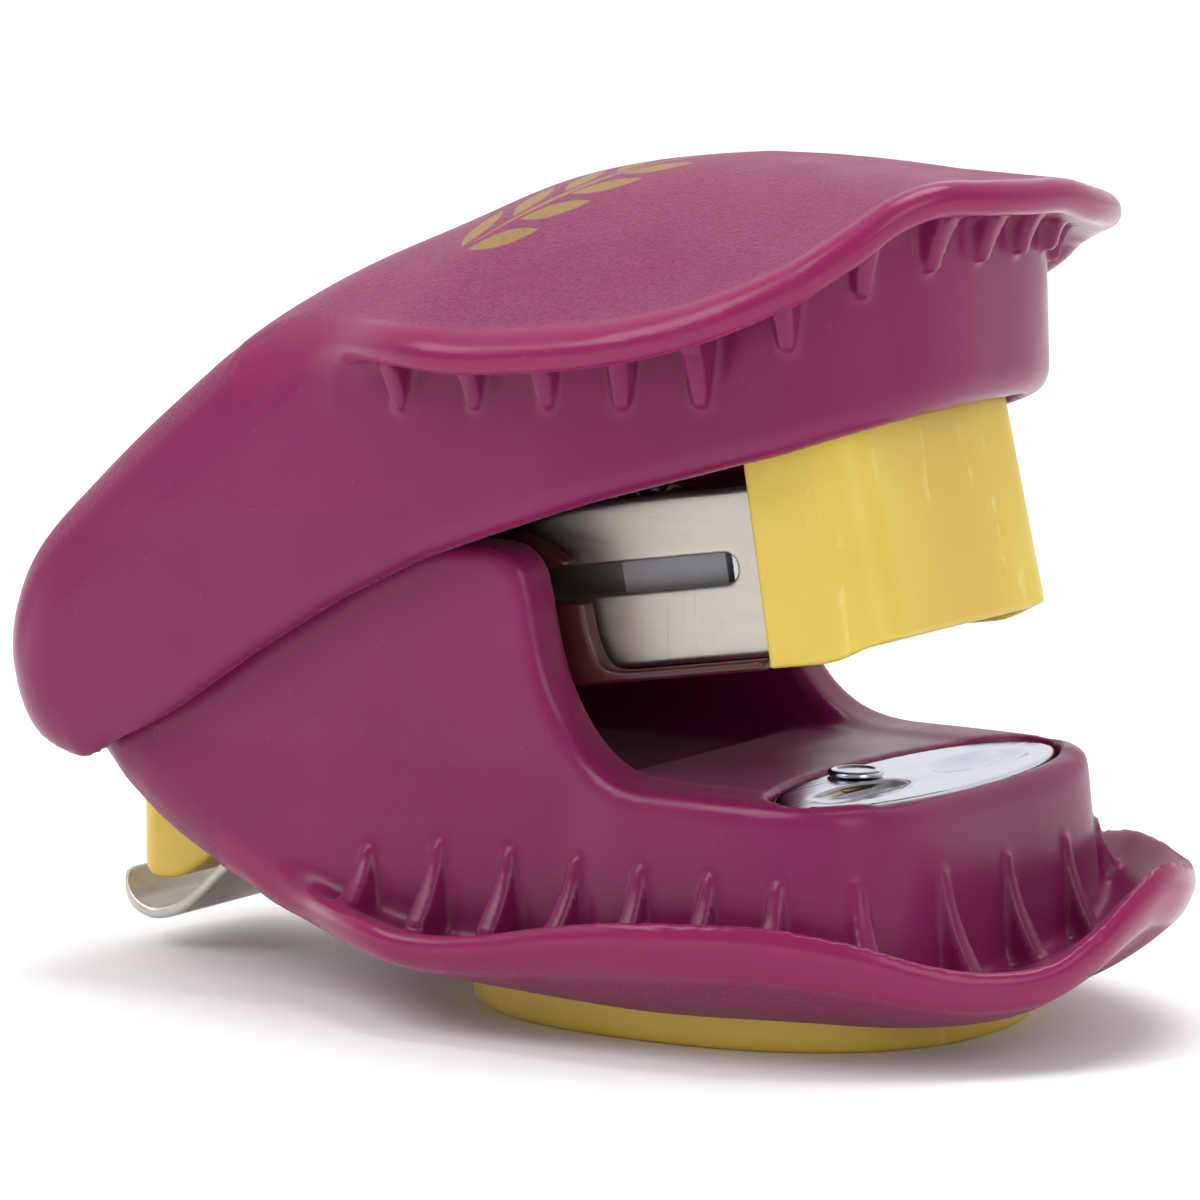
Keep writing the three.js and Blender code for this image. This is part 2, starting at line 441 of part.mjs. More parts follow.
// Cradle: plastic cheeks beside the channel, joined under its rear half, with thin sills in front.
const cheek = [[6, CRADLE.lo], [CRADLE.front, CRADLE.lo], [CRADLE.front, lo], [26.6, lo], [25.6, -2.7],
  [25.1, -1.3], [24.9, 0.8], [24.4, 2.4], [23.5, 3.2], [22.4, 3.9], [20.7, 4.2], [10, 4], [6, 2.6]];
const cradle = union([side(cheek, half + CLEAR, CRADLE.half), side(cheek, -CRADLE.half, -half - CLEAR),
  box(6, 17.5, -CRADLE.half, CRADLE.half, CRADLE.lo - 0.6, lo - CLEAR)])
  .subtract(side([...arc(14, 1.45, 0.9, 90, 270, 6), [30, 0.55], [30, 2.35]], -20, 20));

const railHalf = 5.5;
const rail = front([[-railHalf, lo + 1], [-railHalf, 2.3], [railHalf, 2.3], [railHalf, lo + 1],
  [railHalf - 0.6, lo + 1], [railHalf - 0.6, 1.7], [-railHalf + 0.6, 1.7],
  [-railHalf + 0.6, lo + 1]].reverse(), 7, 37.8);
const staple = (x0, x1) => front([[-6.3, lo + 0.9], [-6.3, 2.95], [6.3, 2.95], [6.3, lo + 0.9],
  [5.8, lo + 0.9], [5.8, 2.45], [-5.8, 2.45], [-5.8, lo + 0.9]].reverse(), x0, x1);
const strip = staple(32.4, 38.3);
const pusher = front([[-6.2, -1.6], [-6.2, 5.1], [6.2, 5.1], [6.2, -1.6], [5.75, -1.6],
  [5.75, 2.55], [-5.75, 2.55], [-5.75, -1.6]].reverse(), 26, 32.1)
  .subtract(rod(ROD.r + 0.2, [20, 0, ROD.z], [40, 0, ROD.z]));
const guideRod = rod(ROD.r, [3.6, 0, ROD.z], [36.6, 0, ROD.z], 16);
const rearStop = box(4.2, 6.6, -6.2, 6.2, lo + t + CLEAR, 5.0)
  .subtract(rod(ROD.r + 0.05, [0, 0, ROD.z], [10, 0, ROD.z]))
  .subtract(box(0, 10, -3, 3, -4, 1.4));
const pusherSpring = coil(1.35, 0.22, 15, 19, "x", [6.9, 0, ROD.z], 10, 5);
const frontStop = box(35, 36.4, -6.2, 6.2, 3.25, 5.2)
  .subtract(rod(ROD.r + 0.05, [30, 0, ROD.z], [40, 0, ROD.z]));

// ---- driver, on the handle (same level frame) ----------------------------------------------------
const LEAN = 4.7; // degrees the blade leans back, so that it meets the staples square in mid stroke
const leaning = (w, h, z0, z1) => solidFrom(new THREE.BoxGeometry(2 * w, 2 * h, z1 - z0)
  .translate(0, 0, (z0 + z1) / 2).rotateY(-rad(LEAN)).translate(EXIT_X, 0, 3.3));
const blade = leaning(0.3, 6.1, 0, 13.9);
const carrier = box(34.9, 39.5, -6.4, 6.4, 16.2, 17.5).subtract(leaning(0.45, 6.3, -1, 14.3));
const screws = [-3.5, 3.5].map((y) => rod(1.1, [36.3, y, 15.4], [36.3, y, 16.15], 16));

// ---- assembly -----------------------------------------------------------------------------------
const PLASTIC = { color: 0x8c3560, roughness: 0.45 };
const YELLOW = { color: 0xdcc24a, roughness: 0.4 };
const STEEL = { color: 0xbcb7ac, roughness: 0.25, metalness: 1 };
const CHROME = { color: 0xb0b0c0, roughness: 0.12, metalness: 1 };

const group = new THREE.Group();
group.name = "mini_stapler";
const raised = new THREE.Group(); // the level frame, tilted up about the hinge
raised.position.set(PIVOT.x, 0, PIVOT.z);
raised.rotation.y = -rad(TILT);
group.add(raised);
const put = (solid, name, slot, look) => group.add(meshFrom(solid, name, slot, look));
const lift = (solid, name, slot, look) => raised.add(meshFrom(solid, name, slot, look));

put(lowerShell, "lower_jaw_shell", "plastic_magenta", PLASTIC);
put(foot, "foot_cover", "plastic_yellow", YELLOW);
put(anvil, "anvil_plate", "chrome", CHROME);
put(rivet, "anvil_rivet", "chrome", CHROME);
put(tongue, "staple_remover", "steel", STEEL);
put(holder, "remover_holder", "plastic_yellow", YELLOW);
put(pin, "pivot_pin", "steel", STEEL);
put(liftSpring, "lift_spring", "spring_steel", STEEL);
lift(channel, "magazine_channel", "steel", STEEL);
lift(nose, "magazine_nose", "plastic_yellow", YELLOW);
lift(cradle, "magazine_cradle", "plastic_maroon", { color: 0x4a1c24, roughness: 0.5 });
lift(rail, "staple_rail", "steel", STEEL);
lift(strip, "staple_strip", "staple_wire", STEEL);
lift(guideRod, "pusher_guide_rod", "steel", STEEL);
lift(rearStop, "rod_rear_stop", "steel", STEEL);
lift(frontStop, "rod_front_stop", "steel", STEEL);
lift(pusherSpring, "pusher_spring", "spring_steel", STEEL);
lift(pusher, "staple_pusher", "plastic_dark", { color: 0x2b2b2e, roughness: 0.5 });
put(upperJaw(), "upper_jaw_shell", "plastic_magenta", PLASTIC);
lift(blade, "driver_blade", "spring_steel", STEEL);
lift(carrier, "driver_carrier", "plastic_dark", { color: 0x2b2b2e, roughness: 0.5 });
screws.forEach((s, i) => lift(s, `driver_screw_${i + 1}`, "steel", STEEL));

export default group;
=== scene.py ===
"""Mini stapler shaped like a Venus flytrap: fine surfaces, materials, light and camera."""
import json
import math

import bmesh
import bpy
import numpy as np
import openvdb
from mathutils import Matrix, Vector


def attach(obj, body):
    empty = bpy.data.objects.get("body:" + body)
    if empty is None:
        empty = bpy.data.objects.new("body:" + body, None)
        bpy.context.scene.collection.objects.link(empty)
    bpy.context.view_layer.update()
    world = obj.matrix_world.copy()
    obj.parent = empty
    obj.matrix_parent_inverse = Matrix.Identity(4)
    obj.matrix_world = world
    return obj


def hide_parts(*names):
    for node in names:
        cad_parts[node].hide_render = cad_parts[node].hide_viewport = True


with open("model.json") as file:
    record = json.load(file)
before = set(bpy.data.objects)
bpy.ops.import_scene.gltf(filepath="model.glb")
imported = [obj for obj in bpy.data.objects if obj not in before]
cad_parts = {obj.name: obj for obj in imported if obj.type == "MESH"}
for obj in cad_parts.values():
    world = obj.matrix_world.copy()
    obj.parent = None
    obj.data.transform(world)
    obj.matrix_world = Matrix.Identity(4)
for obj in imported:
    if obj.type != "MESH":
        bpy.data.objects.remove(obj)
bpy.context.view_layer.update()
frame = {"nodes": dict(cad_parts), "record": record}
MM = 0.001
STEP = 0.25  # grid step of the two shells, mm
FINE = 0.14  # grid step of the small pieces, mm

# ---- shared dimensions, millimetres, as in the part ----------------------------------------------
# X runs from the hinge (-) to the mouth (+), Y is across, Z is up, 0 is the table.
PIVOT_X, PIVOT_Z, TILT, PIN_R, CLEAR = -29.0, 16.5, 9.2, 1.5, 0.3
EAR_HALF, DECK_HALF, TROUGH_HALF = 12.2, 12.9, 9.3
DECK_Z, DECK_T = 12.8, 2.2
ARM_HALF, NOSE_HALF, WALL, SHELL_T = 14.0, 10.8, 1.4, 1.7
FOOT_A, FOOT_B = 14.2, 11.2
ANVIL_X, ANVIL_BACK, ANVIL_FRONT, ANVIL_HALF, ANVIL_TOP, ANVIL_T = 9.6, 4.0, 3.9, 11.6, 12.55, 0.8
ANVIL_OVAL, FOOT_OVAL = 0.95, 0.85  # exponents of the plan outlines, 1 is an ellipse
POCKET_X, POCKET_Y, RIVET_X, RIVET_Y, LIFT_X = 9.9, 5.3, 7.3, -2.0, -12.5
REAR, BASE_REAR = (-38.3, 5.5), (-35.8, 6.5)  # rear end and corner radius in plan
UPPER_LEAF_X, LOWER_LEAF_X = -22, -24  # where the lips grow out of the sides
# magazine, in the frame of the tilted channel with the pivot as origin
MAG_HALF, MAG_T, MAG_LO, MAG_HI, MAG_FRONT, EXIT_X = 7.2, 0.7, -3.05, 5.35, 39.8, 38.8
CRADLE_HALF, CRADLE_LO, CRADLE_FRONT = 8.6, -3.6, 34.9
NOSE_W, NOSE_BACK, NOSE_FRONT, NOSE_LO, NOSE_STEP, NOSE_TOP = 8.4, 35.2, 42.0, -3.55, 7.9, 9.0
ROD_Z = 3.9
# height lines along x: top of the handle, its shoulder, the hull's bottom and the hull's edge
RIDGE = [(-38.4, 16.2), (-37.8, 18.5), (-36.7, 20.6), (-34.5, 23.2), (-29.5, 28.1), (-25, 31.8),
         (-20, 35.7), (-16, 38.1), (-9, 41.2), (0, 42.7), (8, 42.9), (14, 42.8)]
SHOULDER = [(-38.4, 14.5), (-37.2, 17.3), (-35, 20.1), (-31.4, 23.3), (-26.2, 28), (-22, 31.4),
            (-18, 33.8), (-15, 34.4), (-11, 34.7), (-6.5, 34.6), (0, 35.3), (3.2, 35.9), (6.2, 36.7),
            (8.9, 37.8), (10.6, 38.8)]
HULL = [(-34, 10.6), (-31, 8.3), (-27.5, 6.2), (-22.5, 3.9), (-18, 2.4), (-13, 1.4), (-8, 1),
        (0, 0.9), (16, 0.9)]
CHINE = [(-34, 13.8), (-30, 11.8), (-28.2, 10.4), (-25.8, 9), (-23.3, 7.8), (-21.2, 6.9),
         (-17.8, 6.5), (-13, 6), (-9, 5.5), (-5, 5.8), (-1, 6.5), (4, 7.1), (11, 7.3), (15, 6.8)]
# rim heights round the front: distance along the rim from the tip (minus on the near side), height
UPPER_RIM = [(-22, 36.7), (-18.7, 37.8), (-16.5, 38.8), (-13.4, 40.7), (-11, 42.2), (-8.5, 42.9),
             (-5.3, 42.8), (-2, 42.6), (1, 42.4), (4.7, 41.6), (9, 40.8), (13, 40.1), (17, 39), (22, 36.9)]
# thorns: distance along the wall from its front; for the handle's, also the height of the tip
UPPER_THORNS = [(1.8, 38.4), (5.5, 38.2), (9.2, 37.2), (12.8, 34.6), (17.4, 31.6), (21.3, 31.4),
                (25, 31.3), (29.1, 31), (33.5, 30.6), (37.9, 30.4)]
LOWER_THORNS = [0, 5.7, 11.2, 15, 18.8, 22.8, 26.9, 31, 35.2, 39.4]
LOWER_RIM = [(-24, 7.2), (-18, 6.8), (-13.4, 5.7), (-10.4, 5.3), (-7, 5.5), (-4, 6.8), (-1.5, 8.2),
             (1, 9), (4, 8.6), (8, 8), (12, 7.8), (16, 7.9), (20, 8), (24, 7.6)]


HANDLE_EDGE = [(-30.3, 11.15), (-29.2, 12.1), (-25.6, 14.4), (-20.9, 17.6), (-15.6, 20.8), (-10.7, 23.2),
               (-6.4, 24.8), (-1.1, 26.7), (4.2, 28.3), (8, 29.4), (11.9, 30.8), (16, 32.4), (20, 34)]
EAR_FRONT = [(-28, 22.8), (-24, 23.3), (-19, 24), (-9, 24), (-7.7, 24), (-6.6, 23.7), (-5.8, 22.9),
             (-5.4, 21.6), (-5.05, 20), (-4.65, 18.4), (-4.1, 17), (-3.3, 15.6), (-2.3, 14.4),
             (-1.1, 13.5), (0.2, 13), (1.6, DECK_Z)]
TIP_REACH, FLARE = 0.55, 1.7  # how far a thorn's tip stands out, and how fast it widens to the root


# ---- curves and plan outlines --------------------------------------------------------------------
def ease(t):
    u = np.clip(t, 0, 1)
    return u * u * (3 - 2 * u)


def mix(a, b, t):
    return a + (b - a) * t


def along(knots, x):
    """Cubic through the knots, flat beyond the ends; the same rule as the part's."""
    k = np.array(knots, float)
    x = np.asarray(x, float)
    sl = np.empty(len(k))
    for j in range(len(k)):
        a, b = k[max(0, j - 1)], k[min(len(k) - 1, j + 1)]
        sl[j] = (b[1] - a[1]) / (b[0] - a[0])
    xc = np.clip(x, k[0, 0], k[-1, 0])
    i = np.clip(np.searchsorted(k[:, 0], xc, side="right") - 1, 0, len(k) - 2)
    h = k[i + 1, 0] - k[i, 0]
    t = (xc - k[i, 0]) / h
    return (k[i, 1] * (1 + 2 * t) * (1 - t) ** 2 + sl[i] * h * t * (1 - t) ** 2
            + k[i + 1, 1] * t * t * (3 - 2 * t) - sl[i + 1] * h * t * t * (1 - t))


def corner(x, end, rnd):
    """How far a corner of radius rnd at the rear end draws the side in."""
    u = np.clip((end + rnd - x) / rnd, 0, 1)
    return rnd * (1 - np.sqrt(1 - u * u))


class Outline:
    """A plan outline: straight sides from rear to start, then a superellipse round to the tip."""

    def __init__(s, rear, start, tip, power, half):
        s.start, s.tip, s.power, s.half = start, tip, power, half
        a = np.linspace(np.pi / 2, 0, 361)
        w = float(half(start))
        c, q = np.abs(np.cos(a)) ** (2 / power), np.abs(np.sin(a)) ** (2 / power)
        fx, fy = start + (tip - start) * c, w * q
        fy[-1] = 0
        xs = np.linspace(rear, start, 700, endpoint=False)
        s.x = np.concatenate([xs, fx])
        s.y = np.concatenate([half(xs), fy])
        step = np.hypot(np.diff(s.x), np.diff(s.y))
        s.dist = np.concatenate([np.cumsum(step[::-1])[::-1], [0]])
        s.w = w
        ang = np.arctan2(fy, fx - start)
        s.front = (ang[::-1], s.dist[-361:][::-1])

    def locate(s, x, y):
        """Share of the way out (0 middle, 1 rim), x on the middle line, x on the rim, signed distance."""
        far = np.sign(y)
        y = np.abs(y)
        dx = np.maximum(x - s.start, 0)
        rho_f = ((dx / (s.tip - s.start)) ** s.power + (y / s.w) ** s.power) ** (1 / s.power)
        rho_f = np.maximum(rho_f, 1e-6)
        hw = np.maximum(s.half(np.minimum(x, s.start)), 1e-3)
        side = x <= s.start
        rho = np.where(side, y / hw, rho_f)
        px = np.where(side, x, s.start + dx / rho_f)
        ang = np.arctan2(y / rho_f, np.maximum(dx / rho_f, 1e-9))
        dist = np.where(side, np.interp(x, s.x[:700], s.dist[:700]), np.interp(ang, *s.front))
        return rho, np.minimum(x, s.start), px, dist * far

    def polygon(s):
        return np.concatenate([np.stack([s.x, s.y], 1), np.stack([s.x, -s.y], 1)[::-1][1:]])

    def at(s, dist, sign):
        """Point and outward normal on the outline at a distance from the tip."""
        d = s.dist[::-1]
        x, y = np.interp(dist, d, s.x[::-1]), np.interp(dist, d, s.y[::-1])
        x2, y2 = np.interp(dist + 0.3, d, s.x[::-1]), np.interp(dist + 0.3, d, s.y[::-1])
        x1, y1 = np.interp(dist - 0.3, d, s.x[::-1]), np.interp(dist - 0.3, d, s.y[::-1])
        if dist < 0.3:
            x1, y1 = x2, -y2
        t = np.array([x2 - x1, y2 - y1])
        t /= np.linalg.norm(t)
        return float(x), float(y) * sign, float(t[1]), float(-t[0]) * sign


def arm_half(x):
    return mix(ARM_HALF, NOSE_HALF, ease((x + 4) / 10)) - corner(x, *REAR)


def base_half(x):
    return mix(EAR_HALF, DECK_HALF, ease((x + 3.8) / 5)) - corner(x, *BASE_REAR)


upper_wall = Outline(REAR[0], 5, 14.1, 2.6, arm_half)
upper_lip = Outline(-45, 0, 18, 2.15, lambda x: mix(ARM_HALF, 17, ease((x + 20) / 12)))
lower_wall = Outline(BASE_REAR[0], 5, 14.5, 4, base_half)
lower_lip = Outline(-40, 2, 23.4, 1.95, lambda x: mix(EAR_HALF + 0.3, 17.3, ease((x + 23) / 13)))


def crown(x, y):
    """Height of the handle's outer skin."""
    rho, sx, px, dist = upper_lip.locate(x, y)
    rim = mix(along(UPPER_RIM, dist), along(SHOULDER, px), ease((np.abs(dist) - 15) / 6))
    boxy = 1 - ease((sx + 24) / 12)
    g = np.clip(1 - np.clip(rho, 0, 1) ** mix(2.1, 4, boxy), 0, 1) ** mix(1.3, 0.5, boxy)
    return rim + (along(RIDGE, sx) - rim) * g


def keel(x, y):
    """Height of the base's outer skin."""
    rho, sx, px, dist = lower_lip.locate(x, y)
    rim = mix(along(LOWER_RIM, dist), along(CHINE, px), ease((np.abs(dist) - 17) / 6)) - SHELL_T
    t = ease((sx + 10) / 12)
    g = np.clip(1 - np.clip(rho, 0, 1) ** mix(2.1, 4.2, t), 0, 1) ** mix(0.9, 1, t)
    return rim + (along(HULL, sx) - rim) * g


# ---- distance fields -----------------------------------------------------------------------------
def smin(a, b, k):
    h = np.maximum(k - np.abs(a - b), 0) / k
    return np.minimum(a, b) - h * h * k / 4


def smax(a, b, k):
    return -smin(-a, -b, k)


def round_max(a, b, r):
    """Intersection with a true round edge of radius r."""
    u, v = np.maximum(a + r, 0), np.maximum(b + r, 0)
    return np.minimum(np.maximum(a, b) + r, 0) + np.sqrt(u * u + v * v) - r


def polygon_field(pts, gx, gy):
    """Signed distance (negative inside) of a closed polygon on the grid gx by gy."""
    p = np.asarray(pts, float)
    q = np.roll(p, -1, axis=0)
    X, Y = np.meshgrid(gx, gy, indexing="ij")
    best = np.full(X.shape, 1e9)
    inside = np.zeros(X.shape, bool)
    for (ax, ay), (bx, by) in zip(p, q):
        ex, ey = bx - ax, by - ay
        L = ex * ex + ey * ey
        if L < 1e-12:
            continue
        wx, wy = X - ax, Y - ay
        t = np.clip((wx * ex + wy * ey) / L, 0, 1)
        best = np.minimum(best, (wx - ex * t) ** 2 + (wy - ey * t) ** 2)
        if ay != by:
            cond = ((ay > Y) != (by > Y)) & (X < (bx - ax) * (Y - ay) / (by - ay) + ax)
            inside ^= cond
    d = np.sqrt(best)
    return np.where(inside, -d, d)


class Grid:
    """A regular grid in mm. The field may be made for y >= 0 only and mirrored."""

    def __init__(s, lo, hi, step, mirror=True):
        s.step, s.mirror = step, mirror
        s.x = np.arange(lo[0], hi[0] + step, step)
        s.y = np.arange(0 if mirror else lo[1], hi[1] + step, step)
        s.z = np.arange(lo[2], hi[2] + step, step)
        s.X2, s.Y2 = np.meshgrid(s.x, s.y, indexing="ij")

    def height(s, fn):
        """(z - fn(x, y)) scaled to a distance."""
        T = fn(s.X2, s.Y2)
        gx, gy = np.gradient(T, s.step)
        if s.mirror:
            gy[:, 0] = 0
        n = np.sqrt(1 + np.minimum(gx * gx + gy * gy, 16))
        return ((s.z[None, None, :] - T[:, :, None]) / n[:, :, None]).astype(np.float32)

    def plan(s, pts):
        return polygon_field(pts, s.x, s.y).astype(np.float32)[:, :, None]

    def profile(s, pts):
        return polygon_field(pts, s.x, s.z).astype(np.float32)[:, None, :]

    def window(s, lo, hi):
        f = lambda g, a, b: slice(max(0, np.searchsorted(g, a)), np.searchsorted(g, b))
        return f(s.x, lo[0], hi[0]), f(s.y, lo[1], hi[1]), f(s.z, lo[2], hi[2])

    def mesh(s, name, field, matrix=None, **paint):
        """Contours the field at zero, settles the vertices on it and makes the object."""
        F = field
        y0 = s.y[0]
        if s.mirror:
            F = np.concatenate([field[:, :0:-1], field], axis=1)
            y0 = -s.y[-1]
        F = np.ascontiguousarray(F, dtype=np.float32)
        F = np.clip(F, -4 * s.step, 4 * s.step)
        F = np.pad(F, 1, constant_values=4 * s.step)
        vol = openvdb.FloatGrid(4 * s.step)
        vol.copyFromArray(F)
        pts, tris, quads = vol.convertToPolygons(isovalue=0.0)
        v = np.array(pts, float)
        G = np.gradient(F)
        top = np.array(F.shape) - 1.001

        def sample(A, p):
            q = np.clip(p, 0, top)
            i = q.astype(int)
            f = q - i
            out = 0
            for a in (0, 1):
                for b in (0, 1):
                    for c in (0, 1):
                        w = (f[:, 0] if a else 1 - f[:, 0]) * (f[:, 1] if b else 1 - f[:, 1]) \
                            * (f[:, 2] if c else 1 - f[:, 2])
                        out = out + w * A[i[:, 0] + a, i[:, 1] + b, i[:, 2] + c]
            return out

        for _ in range(3):
            d = sample(F, v)
            g = np.stack([sample(A, v) for A in G], 1)
            m = np.maximum((g * g).sum(1), (0.3 * s.step) ** 2)
            move = -(d / m)[:, None] * g
            n = np.linalg.norm(move, axis=1, keepdims=True)
            v = v + move * np.minimum(1, 0.35 / np.maximum(n, 1e-9))
        v = (v - 1) * s.step + np.array([s.x[0], y0, s.z[0]])
        quads = np.array(quads, int).reshape(-1, 4)
        tris = np.array(tris, int).reshape(-1, 3)
        me = bpy.data.meshes.new(name)
        nq, nt = len(quads), len(tris)
        me.vertices.add(len(v))
        me.vertices.foreach_set("co", (v * MM).astype(np.float32).ravel())
        loops = np.concatenate([quads[:, ::-1].ravel(), tris[:, ::-1].ravel()]).astype(np.int32)
        me.loops.add(len(loops))
        me.loops.foreach_set("vertex_index", loops)
        me.polygons.add(nq + nt)
        starts = np.concatenate([np.arange(nq) * 4, nq * 4 + np.arange(nt) * 3]).astype(np.int32)
        me.polygons.foreach_set("loop_start", starts)
        me.update(calc_edges=True)
        me.validate()
        for label, fn in paint.items():
            mark = me.attributes.new(label, "FLOAT", "POINT")
            mark.data.foreach_set("value", np.asarray(fn(v), np.float32).ravel())
        return place(name, me, matrix)


def place(name, me, matrix=None):
    """An object, smooth shaded, for a mesh made in metres."""
    if matrix is not None:
        me.transform(matrix)
    me.polygons.foreach_set("use_smooth", np.ones(len(me.polygons), bool))
    ob = bpy.data.objects.new(name, me)
    bpy.context.scene.collection.objects.link(ob)
    return ob


def arc(cx, cy, r, a0, a1, n):
    a = np.radians(np.linspace(a0, a1, n + 1))
    return [(cx + r * math.cos(t), cy + r * math.sin(t)) for t in a]


def superoval(x0, back, tip, half, grow, e, n=240):
    """Oval about (x0, 0) with its own reach to the back and the front, grown all round."""
    t = 2 * np.pi * (np.arange(n) + 0.5) / n
    c, q = np.cos(t), np.sin(t)
    reach = np.where(c > 0, tip, back) + grow
    x = x0 + reach * np.sign(c) * np.abs(c) ** e
    return np.stack([x, (half + grow) * np.sign(q) * np.abs(q) ** e], 1)


def spline(knots, n=8):
    """Points on a smooth line through the knots (Catmull-Rom), for polygons with curved edges."""
    k = np.array([knots[0]] + list(knots) + [knots[-1]], float)
    out = []
    for i in range(1, len(k) - 2):
        t = np.linspace(0, 1, n, endpoint=False)[:, None]
        a, b, c, d = k[i - 1], k[i], k[i + 1], k[i + 2]
        out.append(0.5 * (2 * b + (c - a) * t + (2 * a - 5 * b + 4 * c - d) * t ** 2
                          + (3 * b - a - 3 * c + d) * t ** 3))
    return [tuple(p) for p in np.concatenate(out)] + [tuple(k[-1])]


def fins(g, field, outline, dists, spec, cut):
    """Adds curved thorns between wall and lip, thin at the tip, in small windows of the grid.

    spec gives, for a point of the wall and its normal: how far the root stands out, heights of the
    root, the tip and the bed that buries it, thickness at the root and radius of the tip.
    """
    for d in dists:
        for sign in ((1, -1) if d > 0.1 else (1,)):
            x0, y0, nx, ny = outline.at(d, sign)
            reach, root, tip, bed, thick, nib = spec(x0, y0, nx, ny)
            px, py = x0 + nx * reach, y0 + ny * reach
            wx, wy, wz = g.window((min(x0, px) - 2, min(y0, py) - 2, min(tip, bed) - 1),
                                  (max(x0, px) + 2, max(y0, py) + 2, max(tip, bed) + 1))
            X, Y, Z = g.X2[wx, wy][:, :, None], g.Y2[wx, wy][:, :, None], g.z[wz][None, None, :]
            r = (X - x0) * nx + (Y - y0) * ny
            t = -(X - x0) * ny + (Y - y0) * nx
            u = np.clip((Z - tip) / (root - tip), 0, 1)
            edge = mix(TIP_REACH, reach, u ** FLARE)
            lean = FLARE * reach / abs(root - tip) * np.maximum(u, 0.05) ** (FLARE - 1)
            out = (r - edge) / np.sqrt(1 + lean ** 2)
            half = mix(nib, thick / 2, u ** 0.8) * np.clip(1.15 - 0.35 * r / reach, 0.5, 1.2)
            f = round_max(np.abs(t) - half, out, 0.2)
            f = round_max(f, ((tip - Z) if root > tip else (Z - tip)) + 0 * f, nib)
            f = np.maximum(f, (Z - bed) if root > tip else (bed - Z))
            f = np.maximum(f, -0.8 - r)
            f = np.maximum(f, cut[wx, wy, wz])
            field[wx, wy, wz] = smin(field[wx, wy, wz], f.astype(np.float32), 0.35)
    return field


# places the magazine's pieces, made level with the pivot as origin
LEVEL = (Matrix.Translation((PIVOT_X * MM, 0, PIVOT_Z * MM))
         @ Matrix.Rotation(-math.radians(TILT), 4, "Y"))


# ---- the two jaws --------------------------------------------------------------------------------
def lip_marks(outline, skin, inward, start):
    """Vertex marks: grain, the eroded mould texture of the outer skin, and rim, the lip's bead, whose
    colour carries a painted highlight.
    """
    def from_rim(v):
        rho, sx, px, _ = outline.locate(v[:, 0], v[:, 1])
        return px < start, (1 - rho) * np.hypot(px - sx, v[:, 1] / np.maximum(rho, 0.01))

    def grain(v):
        behind, gap = from_rim(v)
        near = ease(1.6 - np.abs(v[:, 2] - skin(v[:, 0], v[:, 1])) / 0.8)
        return near * np.where(behind, 1, ease((gap - 0.9) / 0.5))

    def rim(v):
        behind, gap = from_rim(v)
        near = ease(1.6 - np.abs(v[:, 2] + inward - skin(v[:, 0], v[:, 1])) / 1.2)
        return near * np.where(behind, 0, ease(1.6 - gap))

    return {"grain": grain, "rim": rim}


def upper_jaw():
    g = Grid((-40, -18, 10), (19, 18, 45), STEP, mirror=False)
    x, y, z = g.x[:, None, None], g.y[None, :, None], g.z[None, None, :]
    P = g.plan(upper_wall.polygon()) + 0.03 * np.clip(z - 31, -6, 8).astype(np.float32)
    T = g.height(crown)
    L = g.plan(upper_lip.polygon())
    S = g.profile(arc(-31.6, 17.85, 7.3, 165, 272, 60) + HANDLE_EDGE + [(20, 60), (-38.57, 60)])
    soft = (1.2 + 2.8 * ease((-24 - x) / 10)).astype(np.float32)
    side = smax(P, S, soft)
    w = ease((x + 24) / 4).astype(np.float32)
    body = smax(side, T, 2.4) * (1 - w) + smax(side, T + 0.3, 2.4) * w
    lip_end = np.maximum(L + 1.5 * ease((-10 - x) / 12), UPPER_LEAF_X - x)  # draws in to the rear
    leaf = round_max(np.abs(T + SHELL_T / 2) - SHELL_T / 2, lip_end, 0.85)
    solid = np.maximum(smin(body, leaf, 1.3), T)
    room = arc(PIVOT_X, PIVOT_Z, 7.7, 180, 90, 24) + [
        (PIVOT_X, 60), (60, 60), (60, -30), (-60, -30), (-60, PIVOT_Z)]
    hollow = smax(smax(P + WALL, g.profile(room), 0.8), T + SHELL_T, 1.5)
    above = np.maximum(T + 0.8, L + 0.9)
    for d, tip in UPPER_THORNS:
        sizes = (2.1, tip + 3, tip, tip + 6, 1.3, 0.3)
        solid = fins(g, solid, upper_wall, [d], lambda *at: sizes, above)
    field = smax(solid, -hollow, 0.5)
    hole = np.hypot(x - PIVOT_X, z - PIVOT_Z) - 1.6
    field = np.maximum(field, -np.maximum(hole, np.maximum(12.4 - np.abs(y), np.abs(y) - 13.3)))

    marks = lip_marks(upper_lip, crown, SHELL_T / 2, UPPER_LEAF_X)
    return g.mesh("upper_jaw", field, **marks)


